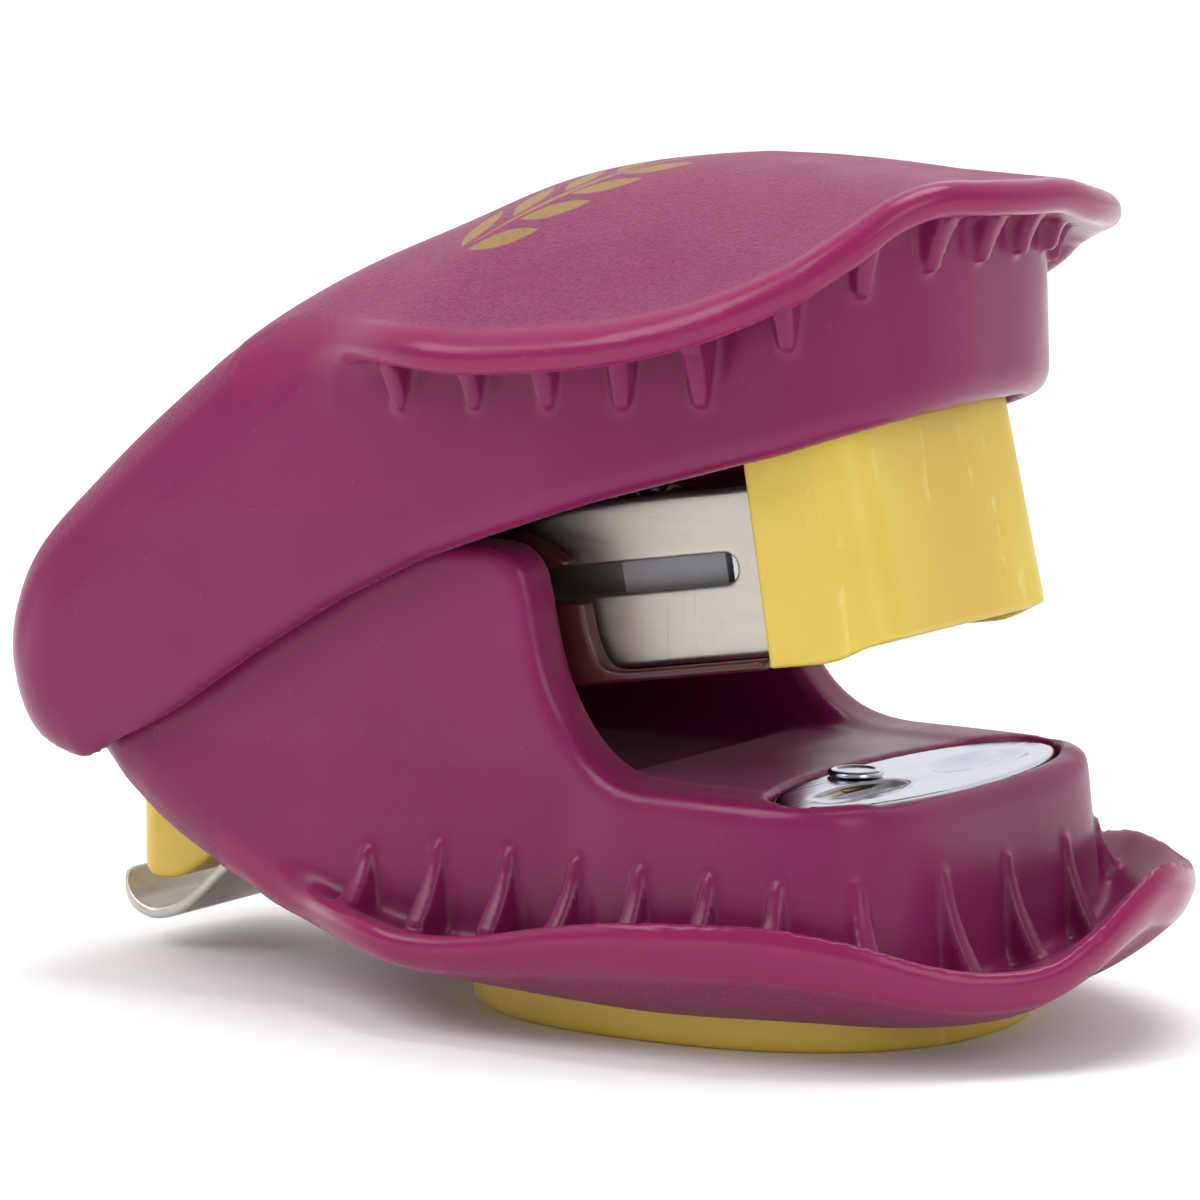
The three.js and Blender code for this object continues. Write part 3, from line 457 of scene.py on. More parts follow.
def lower_jaw():
    g = Grid((-38, -18, 0), (25, 18, 25), STEP, mirror=False)
    x, y, z = g.x[:, None, None], g.y[None, :, None], g.z[None, None, :]
    draft = 0.06 + 0.04 * ease((x - 4) / 6)
    P = g.plan(lower_wall.polygon()) + (draft * np.clip(z - 10, -8, 3) - 0.12).astype(np.float32)
    K = g.height(keel)
    L = g.plan(lower_lip.polygon())
    ears = arc(PIVOT_X, PIVOT_Z, 7.1, 240, 195, 20) + arc(PIVOT_X, PIVOT_Z, 6.3, 165, 95, 30)
    front = [(13.8, DECK_Z), (14.6, DECK_Z - 0.4), (20, 8), (20, -5), (-33.2, -5)]
    S = g.profile(ears + spline(EAR_FRONT) + front)
    side = smax(P, S, (1.0 + 1.6 * ease((-26 - x) / 6)).astype(np.float32))
    w = ease((x + 26) / 4).astype(np.float32)
    body = smax(side, -K, 2.5) * (1 - w) + smax(side, -K + 0.3, 1.5) * w
    lip_end = np.maximum(L + 1.5 * ease((-12 - x) / 12), LOWER_LEAF_X - x)
    leaf = round_max(np.abs(K - SHELL_T / 2) - SHELL_T / 2, lip_end, 0.85)
    solid = np.maximum(smin(body, leaf, 1.2), -K)
    trough_line = arc(PIVOT_X, PIVOT_Z, 5.9, 225, 90, 40) + [
        (PIVOT_X, 60), (30, 60), (30, DECK_Z), (1, DECK_Z), (-3, DECK_Z - 0.4), (-6, DECK_Z - 1.4),
        (-27, DECK_Z - 1.4)]
    trough = smax(g.profile(trough_line), np.abs(y) - TROUGH_HALF, 1.2)
    roof = [(-31.5, 9.2), (-6, 9.2), (-2, DECK_Z - DECK_T), (30, DECK_Z - DECK_T), (30, -20), (-31.5, -20)]
    room = smax(smax(P + 1.8, g.profile(roof), 1), -(K - SHELL_T), 1)

    def spec(px, py, nx, ny):
        tip = mix(8.4, 9.1, ease((px + 14) / 4))
        dip = 4.2 if nx > 0.3 and abs(py) < 8 else 5.4
        return 2.5, (5.8 if px < -12 else dip), tip, 2.5, 1.35, 0.22

    solid = fins(g, solid, lower_wall, LOWER_THORNS, spec,
                 np.maximum(-(K - 0.8), L + 0.6))
    f = smax(solid, -trough, 0.7)
    f = smax(f, -room, 0.5)
    # the anvil's seat and hole, the foot's recess, the pin's bore, the remover's slot, the spring's hole
    seat = superoval(ANVIL_X, ANVIL_BACK, ANVIL_FRONT, ANVIL_HALF, 0.15, ANVIL_OVAL)
    f = smax(f, -np.maximum(g.plan(seat), (ANVIL_TOP - ANVIL_T - 0.2) - z), 0.25)
    mouth = superoval(ANVIL_X, ANVIL_BACK, ANVIL_FRONT, ANVIL_HALF, -2, ANVIL_OVAL)
    f = np.maximum(f, -np.maximum(g.plan(mouth), np.maximum(5 - z, z - 20)))
    f = np.maximum(f, -np.maximum(g.plan(superoval(0, FOOT_A, FOOT_A, FOOT_B, 0.2, FOOT_OVAL)), z - 3.3))
    f = np.maximum(f, -(np.hypot(x - PIVOT_X, z - PIVOT_Z) - 1.55))
    f = np.maximum(f, -np.maximum(np.maximum(np.abs(y) - 4.95, np.abs(x + 28.5) - 6.5), z - 8.3))
    f = np.maximum(f, -np.maximum(np.hypot(x - LIFT_X, y) - 2.6, np.abs(z - 12) - 8))

    marks = lip_marks(lower_lip, keel, -SHELL_T / 2, LOWER_LEAF_X)
    return g.mesh("lower_jaw", f, **marks)


# ---- pieces in the base --------------------------------------------------------------------------
def anvil():
    g = Grid((4.8, -12.6, 11), (14.2, 12.6, 13.4), FINE, mirror=False)
    x, y, z = g.x[:, None, None], g.y[None, :, None], g.z[None, None, :]
    ring = g.plan(superoval(ANVIL_X, ANVIL_BACK, ANVIL_FRONT, ANVIL_HALF, -0.15, ANVIL_OVAL))
    f = round_max(ring, np.abs(z - ANVIL_TOP + ANVIL_T / 2) - ANVIL_T / 2, 0.2)
    deep = 0.66
    for lean in (-0.33, 0.33):  # each pocket is a pair of overlapping almonds
        u = (x - POCKET_X - lean) / 1.15
        v = (np.abs(np.abs(y) - POCKET_Y) + 1.2) / 4.9
        d = np.sqrt(u * u + v * v + ((z - ANVIL_TOP - 0.1) / deep) ** 2)
        f = smax(f, -((d - 1) * deep).astype(np.float32), 0.15)
    f = smax(f, -(np.hypot(x - RIVET_X, y - RIVET_Y) - 1.0), 0.15)
    return g.mesh("anvil", f)


def lathe(name, rings, spot, n=64):
    """A turned piece about a vertical axis from (radius, height) pairs, first and last on the axis."""
    t = np.linspace(0, 2 * np.pi, n, endpoint=False)
    v = [(spot[0], spot[1], spot[2] + rings[0][1])]
    for r, h in rings[1:-1]:
        v += [(spot[0] + r * math.cos(a), spot[1] + r * math.sin(a), spot[2] + h) for a in t]
    v.append((spot[0], spot[1], spot[2] + rings[-1][1]))
    m, f = len(rings) - 2, []
    for i in range(n):
        j = (i + 1) % n
        f.append((0, 1 + j, 1 + i))
        for k in range(m - 1):
            f.append((1 + k * n + i, 1 + k * n + j, 1 + (k + 1) * n + j, 1 + (k + 1) * n + i))
        f.append((1 + (m - 1) * n + i, 1 + (m - 1) * n + j, len(v) - 1))
    me = bpy.data.meshes.new(name)
    me.from_pydata([tuple(c * MM for c in p) for p in v], [], f)
    return place(name, me)


def rivet():
    head = [(0, -3), (0.7, -3), (0.8, -2.9), (0.8, 0.03), (1.3, 0.05), (1.4, 0.12), (1.4, 0.22),
            (1.33, 0.31), (1.2, 0.35), (1.05, 0.34), (0.95, 0.27), (0.85, 0.25), (0.3, 0.24), (0, 0.24)]
    return lathe("anvil_rivet_head", head, (RIVET_X, RIVET_Y, ANVIL_TOP))


def foot():
    g = Grid((-15, -12, -0.6), (15, 12, 11.4), STEP * 0.8, mirror=True)
    x, y, z = g.x[:, None, None], g.y[None, :, None], g.z[None, None, :]
    ring = lambda grow: g.plan(superoval(0, FOOT_A, FOOT_A, FOOT_B, grow, FOOT_OVAL))
    f = round_max(ring(-0.02), np.maximum(z - 2.9, -z), 0.45)
    f = np.minimum(f, round_max(ring(-1.6), np.maximum(z - 3.4, 2 - z), 0.2))
    f = smax(f, -np.maximum(ring(-2.8), 1.4 - z), 0.3)
    groove = np.abs(ring(-3.2) + 0.5) - 0.35  # shallow ring groove under the foot
    f = smax(f, -np.maximum(groove, z - 0.35), 0.15)
    r = np.hypot(x - LIFT_X, y)
    post = round_max(r - 1.1, np.maximum(z - 10.6, 0.9 - z), 0.3)
    return g.mesh("foot", smin(f, post.astype(np.float32), 0.3))


TONGUE = [(-22.5, 7.5), (-25.5, 6.9), (-27.8, 5.7), (-29.3, 4.5), (-30.7, 3.2), (-32, 2.25), (-33.4, 1.85),
          (-34.5, 2.1), (-35.4, 2.65), (-36.3, 3.45)]


def tongue():
    g = Grid((-37.8, -5.4, 0.2), (-21.6, 5.4, 8.4), FINE, mirror=True)
    x, y, z = g.x[:, None, None], g.y[None, :, None], g.z[None, None, :]
    line = np.array(spline(TONGUE, 12))
    X, Z = np.meshgrid(g.x, g.z, indexing="ij")
    best = np.full(X.shape, 1e9)
    for a, b in zip(line[:-1], line[1:]):
        e = b - a
        t = np.clip(((X - a[0]) * e[0] + (Z - a[1]) * e[1]) / (e @ e), 0, 1)
        best = np.minimum(best, np.hypot(X - a[0] - e[0] * t, Z - a[1] - e[1] * t))
    sheet = (best - 0.29).astype(np.float32)[:, None, :]
    plan = round_max(np.abs(y) - 4.62, -36.3 - x, 2.1) + 0 * z
    return g.mesh("remover_tongue", round_max(sheet, plan.astype(np.float32), 0.12))


def holder():
    g = Grid((-36, -5, 1.8), (-25.6, 5, 9), FINE * 1.2, mirror=True)
    y, z = g.y[None, :, None], g.z[None, None, :]
    out = spline([(-35, 8.05), (-35, 6), (-35, 4.6), (-34.75, 4.05), (-34, 3.71), (-33, 3.65),
                  (-31.8, 4), (-30, 5.2), (-28, 6.7), (-26.6, 8.05)])
    plan = round_max(np.abs(y) - 4.18, -34.98 - g.x[:, None, None], 1.5)
    return g.mesh("remover_block", round_max(g.profile(out), plan + 0 * z, 0.3))


# ---- pieces on the magazine ----------------------------------------------------------------------
def channel():
    g = Grid((-6, -8, -4), (41, 8, 6.2), FINE * 1.25, mirror=True)
    x, y, z = g.x[:, None, None], g.y[None, :, None], g.z[None, None, :]
    top = spline([(2, 5.05), (8, 4.9), (12, 4.1), (16, 3.6), (18.6, 3.65), (20.5, 4.15), (22.4, 4.85),
                  (25, 5.2), (29, 5.33), (34, MAG_HI)])
    out = arc(0, 0, 5.2, 214, 96, 40) + top + [(MAG_FRONT, MAG_HI), (MAG_FRONT, MAG_LO), (-3.9, MAG_LO)]
    f = round_max(g.profile(out), np.abs(y) - MAG_HALF, 0.32)
    f = smax(f, -np.maximum(np.abs(y) - MAG_HALF + MAG_T, MAG_LO + MAG_T - z), 0.22)
    bore = np.maximum(np.abs(y) - MAG_HALF + MAG_T, z - MAG_LO - 1)  # the staple's way out
    f = np.maximum(f, -np.maximum(EXIT_X - 0.9 - x, bore))
    slot = arc(32.6, 1.45, 0.75, -90, 90, 24) + arc(14, 1.45, 0.75, 90, 270, 24)
    f = smax(f, -g.profile(slot), 0.16)
    return g.mesh("channel", np.maximum(f, -(np.hypot(x, z) - PIN_R - 0.15)), LEVEL)


def cradle():
    g = Grid((5, -9.4, -5), (35.8, 9.4, 5), FINE * 1.25, mirror=True)
    x, y, z = g.x[:, None, None], g.y[None, :, None], g.z[None, None, :]
    out = [(CRADLE_FRONT, CRADLE_LO), (CRADLE_FRONT, MAG_LO)] + spline(
        [(28.6, -3.05), (26.6, -3), (25.6, -2.6), (25.1, -1.3), (24.9, 0.8), (24.4, 2.4), (23.5, 3.2),
         (22.4, 3.9), (20.7, 4.2), (10, 4), (6, 2.6)]) + [(6, CRADLE_LO)]
    mid = (MAG_HALF + CLEAR + CRADLE_HALF) / 2
    f = round_max(g.profile(out), np.abs(np.abs(y) - mid) - (CRADLE_HALF - mid), 0.25)
    bridge = np.abs(z - (CRADLE_LO - 0.6 + MAG_LO - CLEAR) / 2) - 0.425  # joins the two sides
    f = np.minimum(f, round_max(np.abs(x - 11.75) - 5.75, np.maximum(np.abs(y) - CRADLE_HALF, bridge), 0.2))
    slot = round_max(np.abs(z - 1.45) - 0.9, 13.1 - x, 0.85)
    return g.mesh("cradle", smax(f, -slot, 0.2), LEVEL)


def nose():
    g = Grid((34.2, -9.2, -4.4), (42.6, 9.2, 9.8), FINE * 1.1, mirror=True)
    x, y, z = g.x[:, None, None], g.y[None, :, None], g.z[None, None, :]
    lean = x + 0.07 * (z + 2.7)
    low = NOSE_LO + 0.75 * ease((x - 38.2) / 3.6)
    wrap = round_max(np.abs(y) - NOSE_W, lean - NOSE_FRONT, 2.5)
    f = round_max(wrap, np.maximum(NOSE_BACK - x, np.maximum(low - z, z - NOSE_STEP)), 0.22)
    inner = round_max(np.abs(y) - NOSE_W + 0.7, lean - NOSE_FRONT + 0.9, 2.3)
    f = smin(f, round_max(inner, np.maximum(NOSE_BACK - x, np.maximum(5 - z, z - NOSE_TOP)), 0.4), 0.3)
    f = smax(f, -np.maximum(np.abs(y) - MAG_HALF - CLEAR, x - 40.3), 0.3)
    lo, hi, end = MAG_HI + CLEAR, NOSE_TOP, 37  # a tie over the channel joins the two cheeks
    tie = np.maximum(np.abs(z - (lo + hi) / 2) - (hi - lo) / 2, np.abs(y) - MAG_HALF - 0.5)
    tie = np.maximum(tie, np.abs(x - (NOSE_BACK + end) / 2) - (end - NOSE_BACK) / 2)
    return g.mesh("nose", np.minimum(f, tie + 0.02), LEVEL)


# ---- wires ---------------------------------------------------------------------------------------
def sweep(path, section):
    """Closed tube: the section (pairs across and along the binormal) carried along the path."""
    path = np.asarray(path, float)
    n, m = len(path), len(section)
    tan = np.gradient(path, axis=0)
    tan /= np.linalg.norm(tan, axis=1, keepdims=True)
    ref = np.array([0.0, 0, 1]) if abs(tan[0, 2]) < 0.9 else np.array([1.0, 0, 0])
    v = []
    for k in range(n):
        a = np.cross(tan[k], ref)
        a /= np.linalg.norm(a)
        b = np.cross(tan[k], a)
        ref = -b if k == 0 else ref - tan[k] * (ref @ tan[k])
        ref = ref / np.linalg.norm(ref)
        v += [path[k] + a * s + b * t for s, t in section]
    f = [tuple(range(m - 1, -1, -1)), tuple((n - 1) * m + i for i in range(m))]
    for k in range(n - 1):
        for i in range(m):
            j = (i + 1) % m
            f.append((k * m + i, k * m + j, (k + 1) * m + j, (k + 1) * m + i))
    return v, f


def helix(r, turns, length, dead, per):
    """Coil points about +Z from 0: closed end turns, even pitch between."""
    t = np.linspace(0, turns, int(turns * per) + 1)
    close = 0.62  # pitch of the end turns
    rise = np.clip((t - dead) / (turns - 2 * dead), 0, 1) * (length - 2 * dead * close)
    rise = rise + (np.clip(t, 0, dead) + np.clip(t - turns + dead, 0, dead)) * close
    return np.stack([r * np.cos(2 * np.pi * t), r * np.sin(2 * np.pi * t), rise], 1)


def wire(name, parts, matrix=None):
    """One mesh from swept parts (vertices in mm, faces)."""
    verts, faces = [], []
    for v, f in parts:
        base = len(verts)
        verts += [tuple(c * MM for c in p) for p in v]
        faces += [tuple(i + base for i in q) for q in f]
    me = bpy.data.meshes.new(name)
    me.from_pydata(verts, [], faces)
    bm = bmesh.new()
    bm.from_mesh(me)
    bmesh.ops.recalc_face_normals(bm, faces=bm.faces)
    bm.to_mesh(me)
    bm.free()
    return place(name, me, matrix)


def round_section(r, n):
    a = np.linspace(0, 2 * np.pi, n, endpoint=False)
    return [(r * math.cos(t), r * math.sin(t)) for t in a]


def lift_spring():
    p = helix(1.75, 6.5, 10.2, 1, 40) + np.array([LIFT_X, 0, 3.85])
    return wire("lift_coil", [sweep(p, round_section(0.25, 10))])


def pusher_spring():
    p = helix(1.35, 15, 18.6, 1, 32)
    p = np.stack([p[:, 2] + 7.1, p[:, 0], p[:, 1] + ROD_Z], 1)
    return wire("pusher_coil", [sweep(p, round_section(0.215, 8))], LEVEL)


def staples():
    """Twelve staples side by side, each a U of flattened wire with rounded bends and edges."""
    w, h, r = 6.05, 2.7, 0.45
    half = [(-w, -2.1), (-w, -1)] + arc(-w + r, h - r, r, 180, 90, 8)
    line = half + [(-a, b) for a, b in half[::-1]]
    dense = []
    for (a, b), (c, d) in zip(line[:-1], line[1:]):
        k = max(1, int(math.hypot(c - a, d - b) / 1.2))
        dense += [(a + (c - a) * i / k, b + (d - b) * i / k) for i in range(k)]
    dense.append(line[-1])
    # the wire's section: a circle pushed towards a rectangle
    turn = np.linspace(0, 2 * np.pi, 16, endpoint=False) + 0.2
    square = lambda v: np.sign(v) * np.abs(v) ** 0.5
    section = list(zip(0.22 * square(np.cos(turn)), 0.235 * square(np.sin(turn))))
    count, first, run = 12, 32.4 + 0.245, 5.9
    parts = [sweep([(first + i * run / count, a, b) for a, b in dense], section) for i in range(count)]
    return wire("staples", parts, LEVEL)


# ---- materials -----------------------------------------------------------------------------------
def srgb(r, g, b):
    return tuple((c / 255 / 12.92) if c / 255 <= 0.04045 else ((c / 255 + 0.055) / 1.055) ** 2.4
                 for c in (r, g, b)) + (1.0,)


class Look:
    """A procedural material in object coordinates, with short helpers for its node tree."""

    def __init__(s, name, metal=0.0, **fixed):
        s.mat = bpy.data.materials.new(name)
        s.mat.use_nodes = True
        s.tree = s.mat.node_tree
        s.bsdf = s.tree.nodes["Principled BSDF"]
        s.bsdf.inputs["Metallic"].default_value = metal
        for key, value in fixed.items():
            s.bsdf.inputs[key.replace("_", " ")].default_value = value
        s.place = s.tree.nodes.new("ShaderNodeTexCoord").outputs["Object"]

    def put(s, socket, value):
        if isinstance(value, bpy.types.NodeSocket):
            s.tree.links.new(value, socket)
        else:
            socket.default_value = value

    def math(s, op, a, b=0.0):
        n = s.tree.nodes.new("ShaderNodeMath")
        n.operation = op
        s.put(n.inputs[0], a)
        s.put(n.inputs[1], b)
        return n.outputs[0]

    def noise(s, scale, detail=3.0, stretch=(1, 1, 1), rough=0.55):
        m = s.tree.nodes.new("ShaderNodeMapping")
        s.put(m.inputs["Vector"], s.place)
        m.inputs["Scale"].default_value = stretch
        n = s.tree.nodes.new("ShaderNodeTexNoise")
        s.put(n.inputs["Vector"], m.outputs[0])
        n.inputs["Scale"].default_value = scale
        n.inputs["Detail"].default_value = detail
        n.inputs["Roughness"].default_value = rough
        return n.outputs["Fac"]

    def cells(s, scale):
        n = s.tree.nodes.new("ShaderNodeTexVoronoi")
        s.put(n.inputs["Vector"], s.place)
        n.inputs["Scale"].default_value = scale
        return n.outputs["Distance"]

    def span(s, value, lo, hi, a=0.0, b=1.0):
        """Maps lo..hi to a..b, held at both ends."""
        n = s.tree.nodes.new("ShaderNodeMapRange")
        s.put(n.inputs["Value"], value)
        for key, v in zip(("From Min", "From Max", "To Min", "To Max"), (lo, hi, a, b)):
            s.put(n.inputs[key], v)
        return n.outputs["Result"]

    def blend(s, fac, a, b):
        n = s.tree.nodes.new("ShaderNodeMix")
        n.data_type = "RGBA"
        s.put(n.inputs["Factor"], fac)
        s.put(n.inputs[6], a)  # the colour sockets A, B and Result have no unique names
        s.put(n.inputs[7], b)
        return n.outputs[2]

    def mark(s, name):
        n = s.tree.nodes.new("ShaderNodeAttribute")
        n.attribute_name = name
        return n.outputs["Fac"]

    def axes(s):
        n = s.tree.nodes.new("ShaderNodeSeparateXYZ")
        s.put(n.inputs[0], s.place)
        return n.outputs

    def finish(s, colour, rough, height, depth):
        """Joins colour, roughness and a height pattern, depth in mm, to the shader."""
        s.put(s.bsdf.inputs["Base Color"], colour)
        s.put(s.bsdf.inputs["Roughness"], rough)
        n = s.tree.nodes.new("ShaderNodeBump")
        n.inputs["Distance"].default_value = depth * MM
        n.inputs["Strength"].default_value = 1.0
        s.put(n.inputs["Height"], height)
        s.tree.links.new(n.outputs[0], s.bsdf.inputs["Normal"])
        return s.mat


def sprig():
    """A stem, an end leaf and side leaves, as (x, y, direction in degrees, half length, half width)."""
    cx, cy, way = -6.9, -5.0, 53.0
    c, q = math.cos(math.radians(way)), math.sin(math.radians(way))
    out = [(cx, cy, way, 6.4, 0.26), (cx + 6.6 * c, cy + 6.6 * q, way, 2.0, 0.7)]
    for run in (-4.6, -1.9, 0.8, 3.5):
        for s in (1, -1):
            out.append((cx + run * c - s * 1.55 * q, cy + run * q + s * 1.55 * c, way + s * 38, 1.9, 0.72))
    return out


def leaf_print(k):
    """Mask of a generic sprig of slim leaves, printed on the top near the ridge."""
    X, Y, Z = k.axes()
    total = 0.0
    for cx, cy, angle, half, fat in sprig():
        c, q = math.cos(math.radians(angle)), math.sin(math.radians(angle))
        dx, dy = k.math("SUBTRACT", X, cx * MM), k.math("SUBTRACT", Y, cy * MM)
        u = k.math("ADD", k.math("MULTIPLY", dx, c / (half * MM)), k.math("MULTIPLY", dy, q / (half * MM)))
        v = k.math("ADD", k.math("MULTIPLY", dx, -q / MM), k.math("MULTIPLY", dy, c / MM))
        lens = k.math("MULTIPLY", k.math("SUBTRACT", 1.0, k.math("MULTIPLY", u, u)), fat)
        inside = k.math("SUBTRACT", lens, k.math("ABSOLUTE", v))
        total = k.math("MAXIMUM", total, k.span(inside, 0.0, 0.07))
    return k.math("MULTIPLY", total, k.span(Z, 34 * MM, 36 * MM))


def magenta():
    k = Look("magenta_plastic", Sheen_Weight=0.1, Sheen_Roughness=0.4, Specular_IOR_Level=0.3)
    k.bsdf.inputs["Sheen Tint"].default_value = srgb(255, 225, 240)
    grain, rim = k.mark("grain"), k.mark("rim")
    broad, fine = k.noise(90, 3), k.noise(4200, 4, rough=0.7)
    smooth = k.blend(k.span(broad, 0.35, 0.65), srgb(117, 22, 73), srgb(123, 25, 78))
    eroded = k.blend(k.span(fine, 0.35, 0.65), srgb(106, 22, 66), srgb(134, 42, 88))
    colour = k.blend(grain, smooth, eroded)
    # painted highlight: the lip's bead is painted lighter and more saturated than the body
    colour = k.blend(k.math("MULTIPLY", rim, 0.45), colour, srgb(146, 28, 80))
    # whitish flecks along the bead: wear, and a painted glint
    bead_glint_and_wear = k.math("MULTIPLY", k.span(k.noise(420, 5), 0.62, 0.8), k.math("MULTIPLY", rim, 0.15))
    colour = k.blend(bead_glint_and_wear, colour, srgb(176, 100, 136))
    print_mask = k.math("MULTIPLY", leaf_print(k), k.span(k.noise(1500, 4), 0.3, 0.42, 0.6, 0.95))
    colour = k.blend(print_mask, colour, srgb(138, 112, 54))
    # tiny whitish dots over the plastic: dust, and a painted speckled sheen
    dust_and_sheen_specks = k.span(k.cells(700), 0.02, 0.05, 1.0, 0.0)
    colour = k.blend(k.math("MULTIPLY", dust_and_sheen_specks, 0.2), colour, srgb(180, 130, 155))
    rough = k.math("ADD", k.span(grain, 0, 1, 0.3, 0.52), k.span(k.noise(260, 5), 0.3, 0.7, -0.05, 0.07))
    rough = k.math("SUBTRACT", rough, k.math("MULTIPLY", rim, 0.08))
    pits = k.math("ADD", k.math("MULTIPLY", fine, 1.0), k.math("MULTIPLY", k.cells(5200), 0.8))
    ripple = k.math("ADD", k.math("MULTIPLY", pits, k.span(grain, 0, 1, 0.05, 1)),
                    k.math("MULTIPLY", k.noise(140, 2), 0.9))
    return k.finish(colour, rough, ripple, 0.03)


def yellow():
    k = Look("yellow_plastic", Coat_Weight=0.12, Coat_Roughness=0.25)
    broad, fine = k.noise(160, 3), k.noise(1900, 4, rough=0.65)
    X, Y, Z = k.axes()
    middle = k.span(k.math("ABSOLUTE", Y), 1 * MM, 7 * MM, 0.55, 0.0)
    colour = k.blend(k.span(broad, 0.3, 0.7), srgb(214, 184, 66), srgb(220, 194, 78))
    colour = k.blend(middle, colour, srgb(206, 162, 48))
    scuff = k.span(k.noise(700, 5, (1, 1, 0.35)), 0.62, 0.7, 0, 0.3)
    colour = k.blend(scuff, colour, srgb(240, 226, 150))
    rough = k.span(k.noise(300, 5), 0.3, 0.7, 0.34, 0.48)
    return k.finish(colour, rough, k.math("ADD", fine, k.math("MULTIPLY", broad, 1.5)), 0.02)


def maroon():
    k = Look("maroon_plastic", Coat_Weight=0.15, Coat_Roughness=0.2)
    broad = k.noise(210, 4)
    colour = k.blend(k.span(broad, 0.3, 0.7), srgb(66, 22, 26), srgb(82, 30, 30))
    return k.finish(colour, k.span(k.noise(900, 4), 0.3, 0.7, 0.3, 0.46), k.noise(1700, 3), 0.015)


def metal(name, light, dark, lo, hi, stretch, scale, scratch, tint=None):
    """Metal with drawn streaks along one axis, cloudy tone, fine scratches and a few stains."""
    k = Look(name, metal=1.0)
    streak, cloud = k.noise(scale, 4, stretch, 0.7), k.noise(130, 4)
    tone = k.math("ADD", k.math("MULTIPLY", streak, 0.55), k.math("MULTIPLY", cloud, 0.45))
    colour = k.blend(k.span(tone, 0.35, 0.65), dark, light)
    if tint:
        colour = k.blend(k.span(k.noise(320, 5), 0.58, 0.74, 0, 0.35), colour, tint)
    rough = k.math("ADD", k.span(streak, 0.3, 0.7, lo, hi), k.span(cloud, 0.3, 0.7, -0.03, 0.05))
    lines = k.span(k.noise(900, 6, stretch[::-1]), 0.56, 0.6)
    height = k.math("ADD", streak, k.math("MULTIPLY", lines, scratch))
    return k.finish(colour, rough, height, 0.008)


def dark():
    k = Look("dark_plastic")
    colour = k.blend(k.span(k.noise(260, 4), 0.3, 0.7), srgb(138, 136, 142), srgb(152, 150, 156))
    return k.finish(colour, k.span(k.noise(800, 4), 0.3, 0.7, 0.4, 0.6), k.noise(2600, 3), 0.02)


LOOKS = {
    "plastic_magenta": magenta(),
    "plastic_yellow": yellow(),
    "plastic_maroon": maroon(),
    "plastic_dark": dark(),
    "steel": metal("satin_steel", srgb(206, 201, 190), srgb(184, 178, 166), 0.34, 0.46,
                   (0.05, 1, 1), 1500, 0.5, srgb(160, 148, 128)),
    "chrome": metal("chrome_plate", srgb(214, 216, 228), srgb(192, 194, 210), 0.1, 0.2,
                    (1, 0.06, 1), 900, 0.35),
    "spring_steel": metal("spring_steel", srgb(176, 174, 170), srgb(140, 137, 132), 0.26, 0.4,
                          (1, 1, 1), 1200, 0.3, srgb(120, 104, 84)),
    "staple_wire": metal("staple_wire", srgb(212, 211, 208), srgb(180, 179, 176), 0.22, 0.34,
                         (0.1, 1, 1), 2600, 0.4),
}

# every CAD piece takes its look too: those without a finer piece below are seen as they are
for sub in frame["record"]["subparts"]:
    ob = frame["nodes"][sub["node"]]
    ob.data.materials.clear()
    ob.data.materials.append(LOOKS[sub["material_slot"]])
    bevel = ob.modifiers.new("soft_edges", "BEVEL")
    bevel.width, bevel.segments, bevel.use_clamp_overlap = 0.12 * MM, 3, True
    bevel.limit_method, bevel.angle_limit = "ANGLE", math.radians(40)

PIECES = [  # maker, the CAD node it stands for, the body it rides
    (upper_jaw, "upper_jaw_shell", "handle"),
    (lower_jaw, "lower_jaw_shell", "base"),
    (anvil, "anvil_plate", "base"),
    (rivet, "anvil_rivet", "base"),
    (foot, "foot_cover", "base"),
    (tongue, "staple_remover", "base"),
    (holder, "remover_holder", "base"),
    (lift_spring, "lift_spring", "base"),
    (channel, "magazine_channel", "magazine"),
    (cradle, "magazine_cradle", "magazine"),
    (nose, "magazine_nose", "magazine"),
    (pusher_spring, "pusher_spring", "magazine"),
    (staples, "staple_strip", "magazine"),
]
SLOTS = {sub["node"]: sub["material_slot"] for sub in frame["record"]["subparts"]}
for maker, node, body in PIECES:
    ob = maker()
    ob.data.materials.append(LOOKS[SLOTS[node]])
    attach(ob, body)
    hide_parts(node)

# ---- stage ---------------------------------------------------------------------------------------
scene = bpy.context.scene
scene.view_settings.view_transform = "Standard"
FLOOR_HALF = 3.0
floor = bpy.data.objects.new("floor", bpy.data.meshes.new("floor"))
corners = [(FLOOR_HALF * i, FLOOR_HALF * j, 0) for i, j in ((-1, -1), (1, -1), (1, 1), (-1, 1))]
floor.data.from_pydata(corners, [], [(0, 1, 2, 3)])
scene.collection.objects.link(floor)
paper = Look("pale_floor")
tone = paper.blend(paper.noise(40, 3), srgb(248, 248, 248), srgb(252, 252, 252))
floor.data.materials.append(paper.finish(tone, 0.85, paper.noise(900, 3), 0.01))

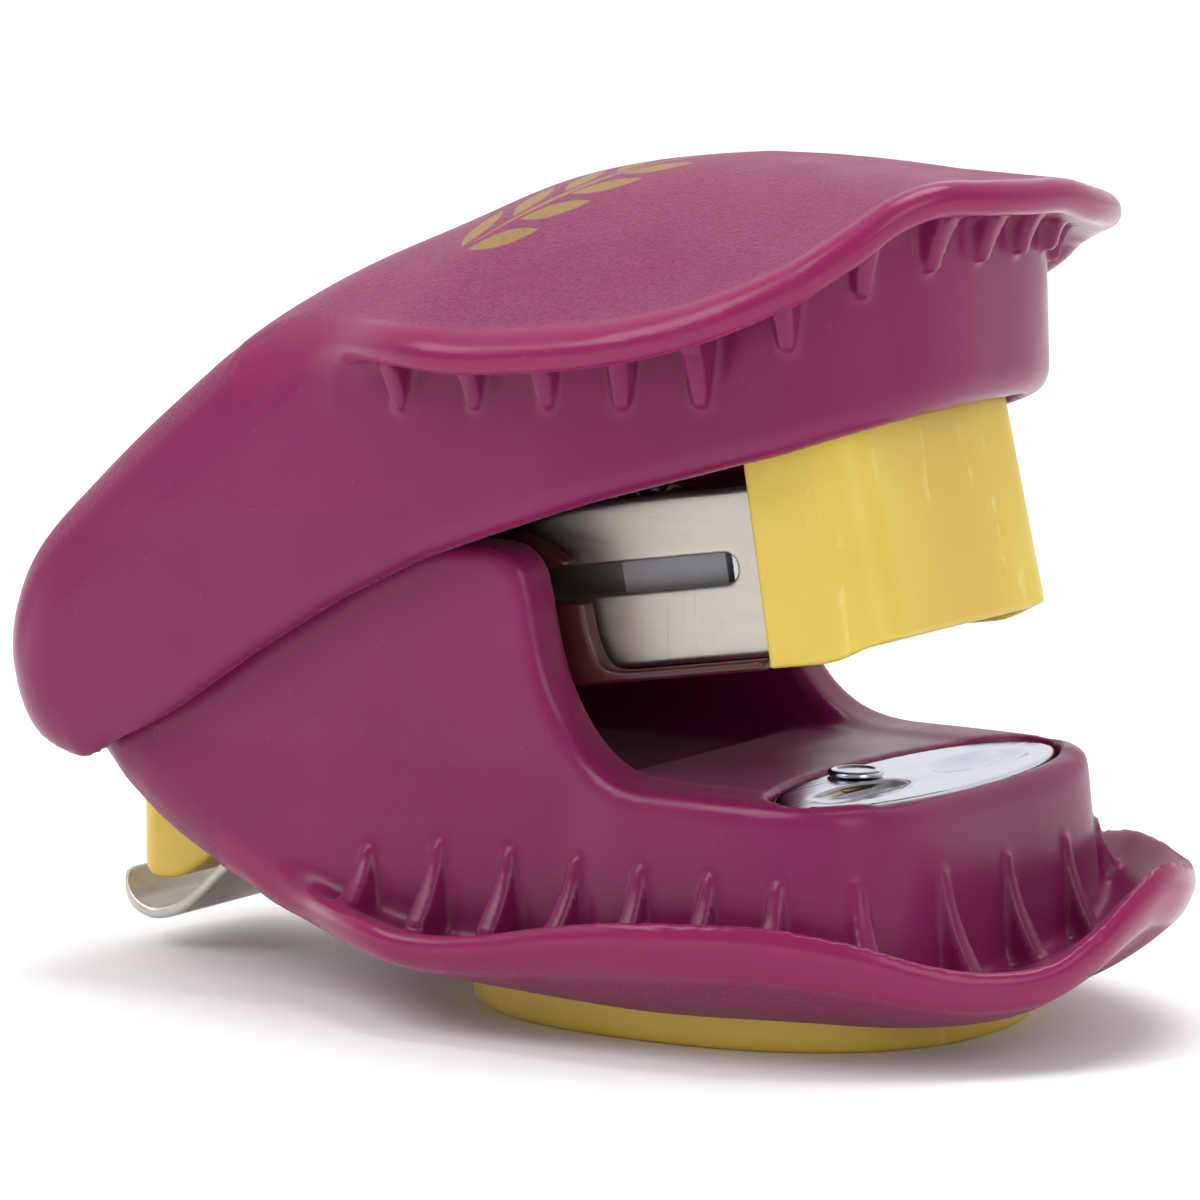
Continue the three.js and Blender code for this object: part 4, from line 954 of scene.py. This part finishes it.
world = bpy.data.worlds.new("studio")
scene.world = world
world.use_nodes = True
sky = world.node_tree
sky.nodes["Background"].inputs[0].default_value = (1, 1, 1, 1)
# white behind the object, dimmer on the side it is seen from
around = sky.nodes.new("ShaderNodeTexCoord")
facing = sky.nodes.new("ShaderNodeVectorMath")
facing.operation = "DOT_PRODUCT"
facing.inputs[1].default_value = (-0.545, 0.824, 0.15)
level = sky.nodes.new("ShaderNodeMapRange")
for key, value in zip(("From Min", "From Max", "To Min", "To Max"), (-0.3, 0.5, 0.5, 1.0)):
    level.inputs[key].default_value = value
sky.links.new(around.outputs["Generated"], facing.inputs[0])
sky.links.new(facing.outputs["Value"], level.inputs["Value"])
sky.links.new(level.outputs["Result"], sky.nodes["Background"].inputs[1])


def area(name, loc, target, size, power):
    """A round soft light at loc, turned to the target; metres and watts."""
    light = bpy.data.lights.new(name, "AREA")
    light.shape, light.size, light.energy = "DISK", size, power
    ob = bpy.data.objects.new(name, light)
    ob.location = loc
    ob.rotation_euler = (Vector(target) - Vector(loc)).to_track_quat("-Z", "Y").to_euler()
    scene.collection.objects.link(ob)


MIDDLE = (0, 0, 0.02)
area("key", (-0.25, -0.35, 0.45), MIDDLE, 0.35, 1.3)
area("fill", (0.45, -0.2, 0.25), MIDDLE, 0.3, 0.6)
area("top", (0.0, 0.1, 0.6), MIDDLE, 0.4, 2.2)

# camera: turned from the side, height over the horizon, distance in metres, picture scale
AZ, EL, DIST = math.radians(33.5), math.radians(8.9), 0.504
SCALE, FRAME, SENSOR = 20.0, 1200, 36  # pixels per mm at the target, frame width, sensor in mm
cam_data = bpy.data.cameras.new("camera")
cam = bpy.data.objects.new("camera", cam_data)
scene.collection.objects.link(cam)
back = Vector((math.sin(AZ) * math.cos(EL), -math.cos(AZ) * math.cos(EL), math.sin(EL)))
target = Vector((-8.76, -0.5, 19.7)) * MM
cam.location = target + back * DIST
cam.rotation_euler = (-back).to_track_quat("-Z", "Y").to_euler()
cam_data.sensor_width = SENSOR
cam_data.lens = SENSOR * (SCALE * DIST / MM) / FRAME
cam_data.clip_start, cam_data.clip_end = 0.01, 20
scene.camera = cam
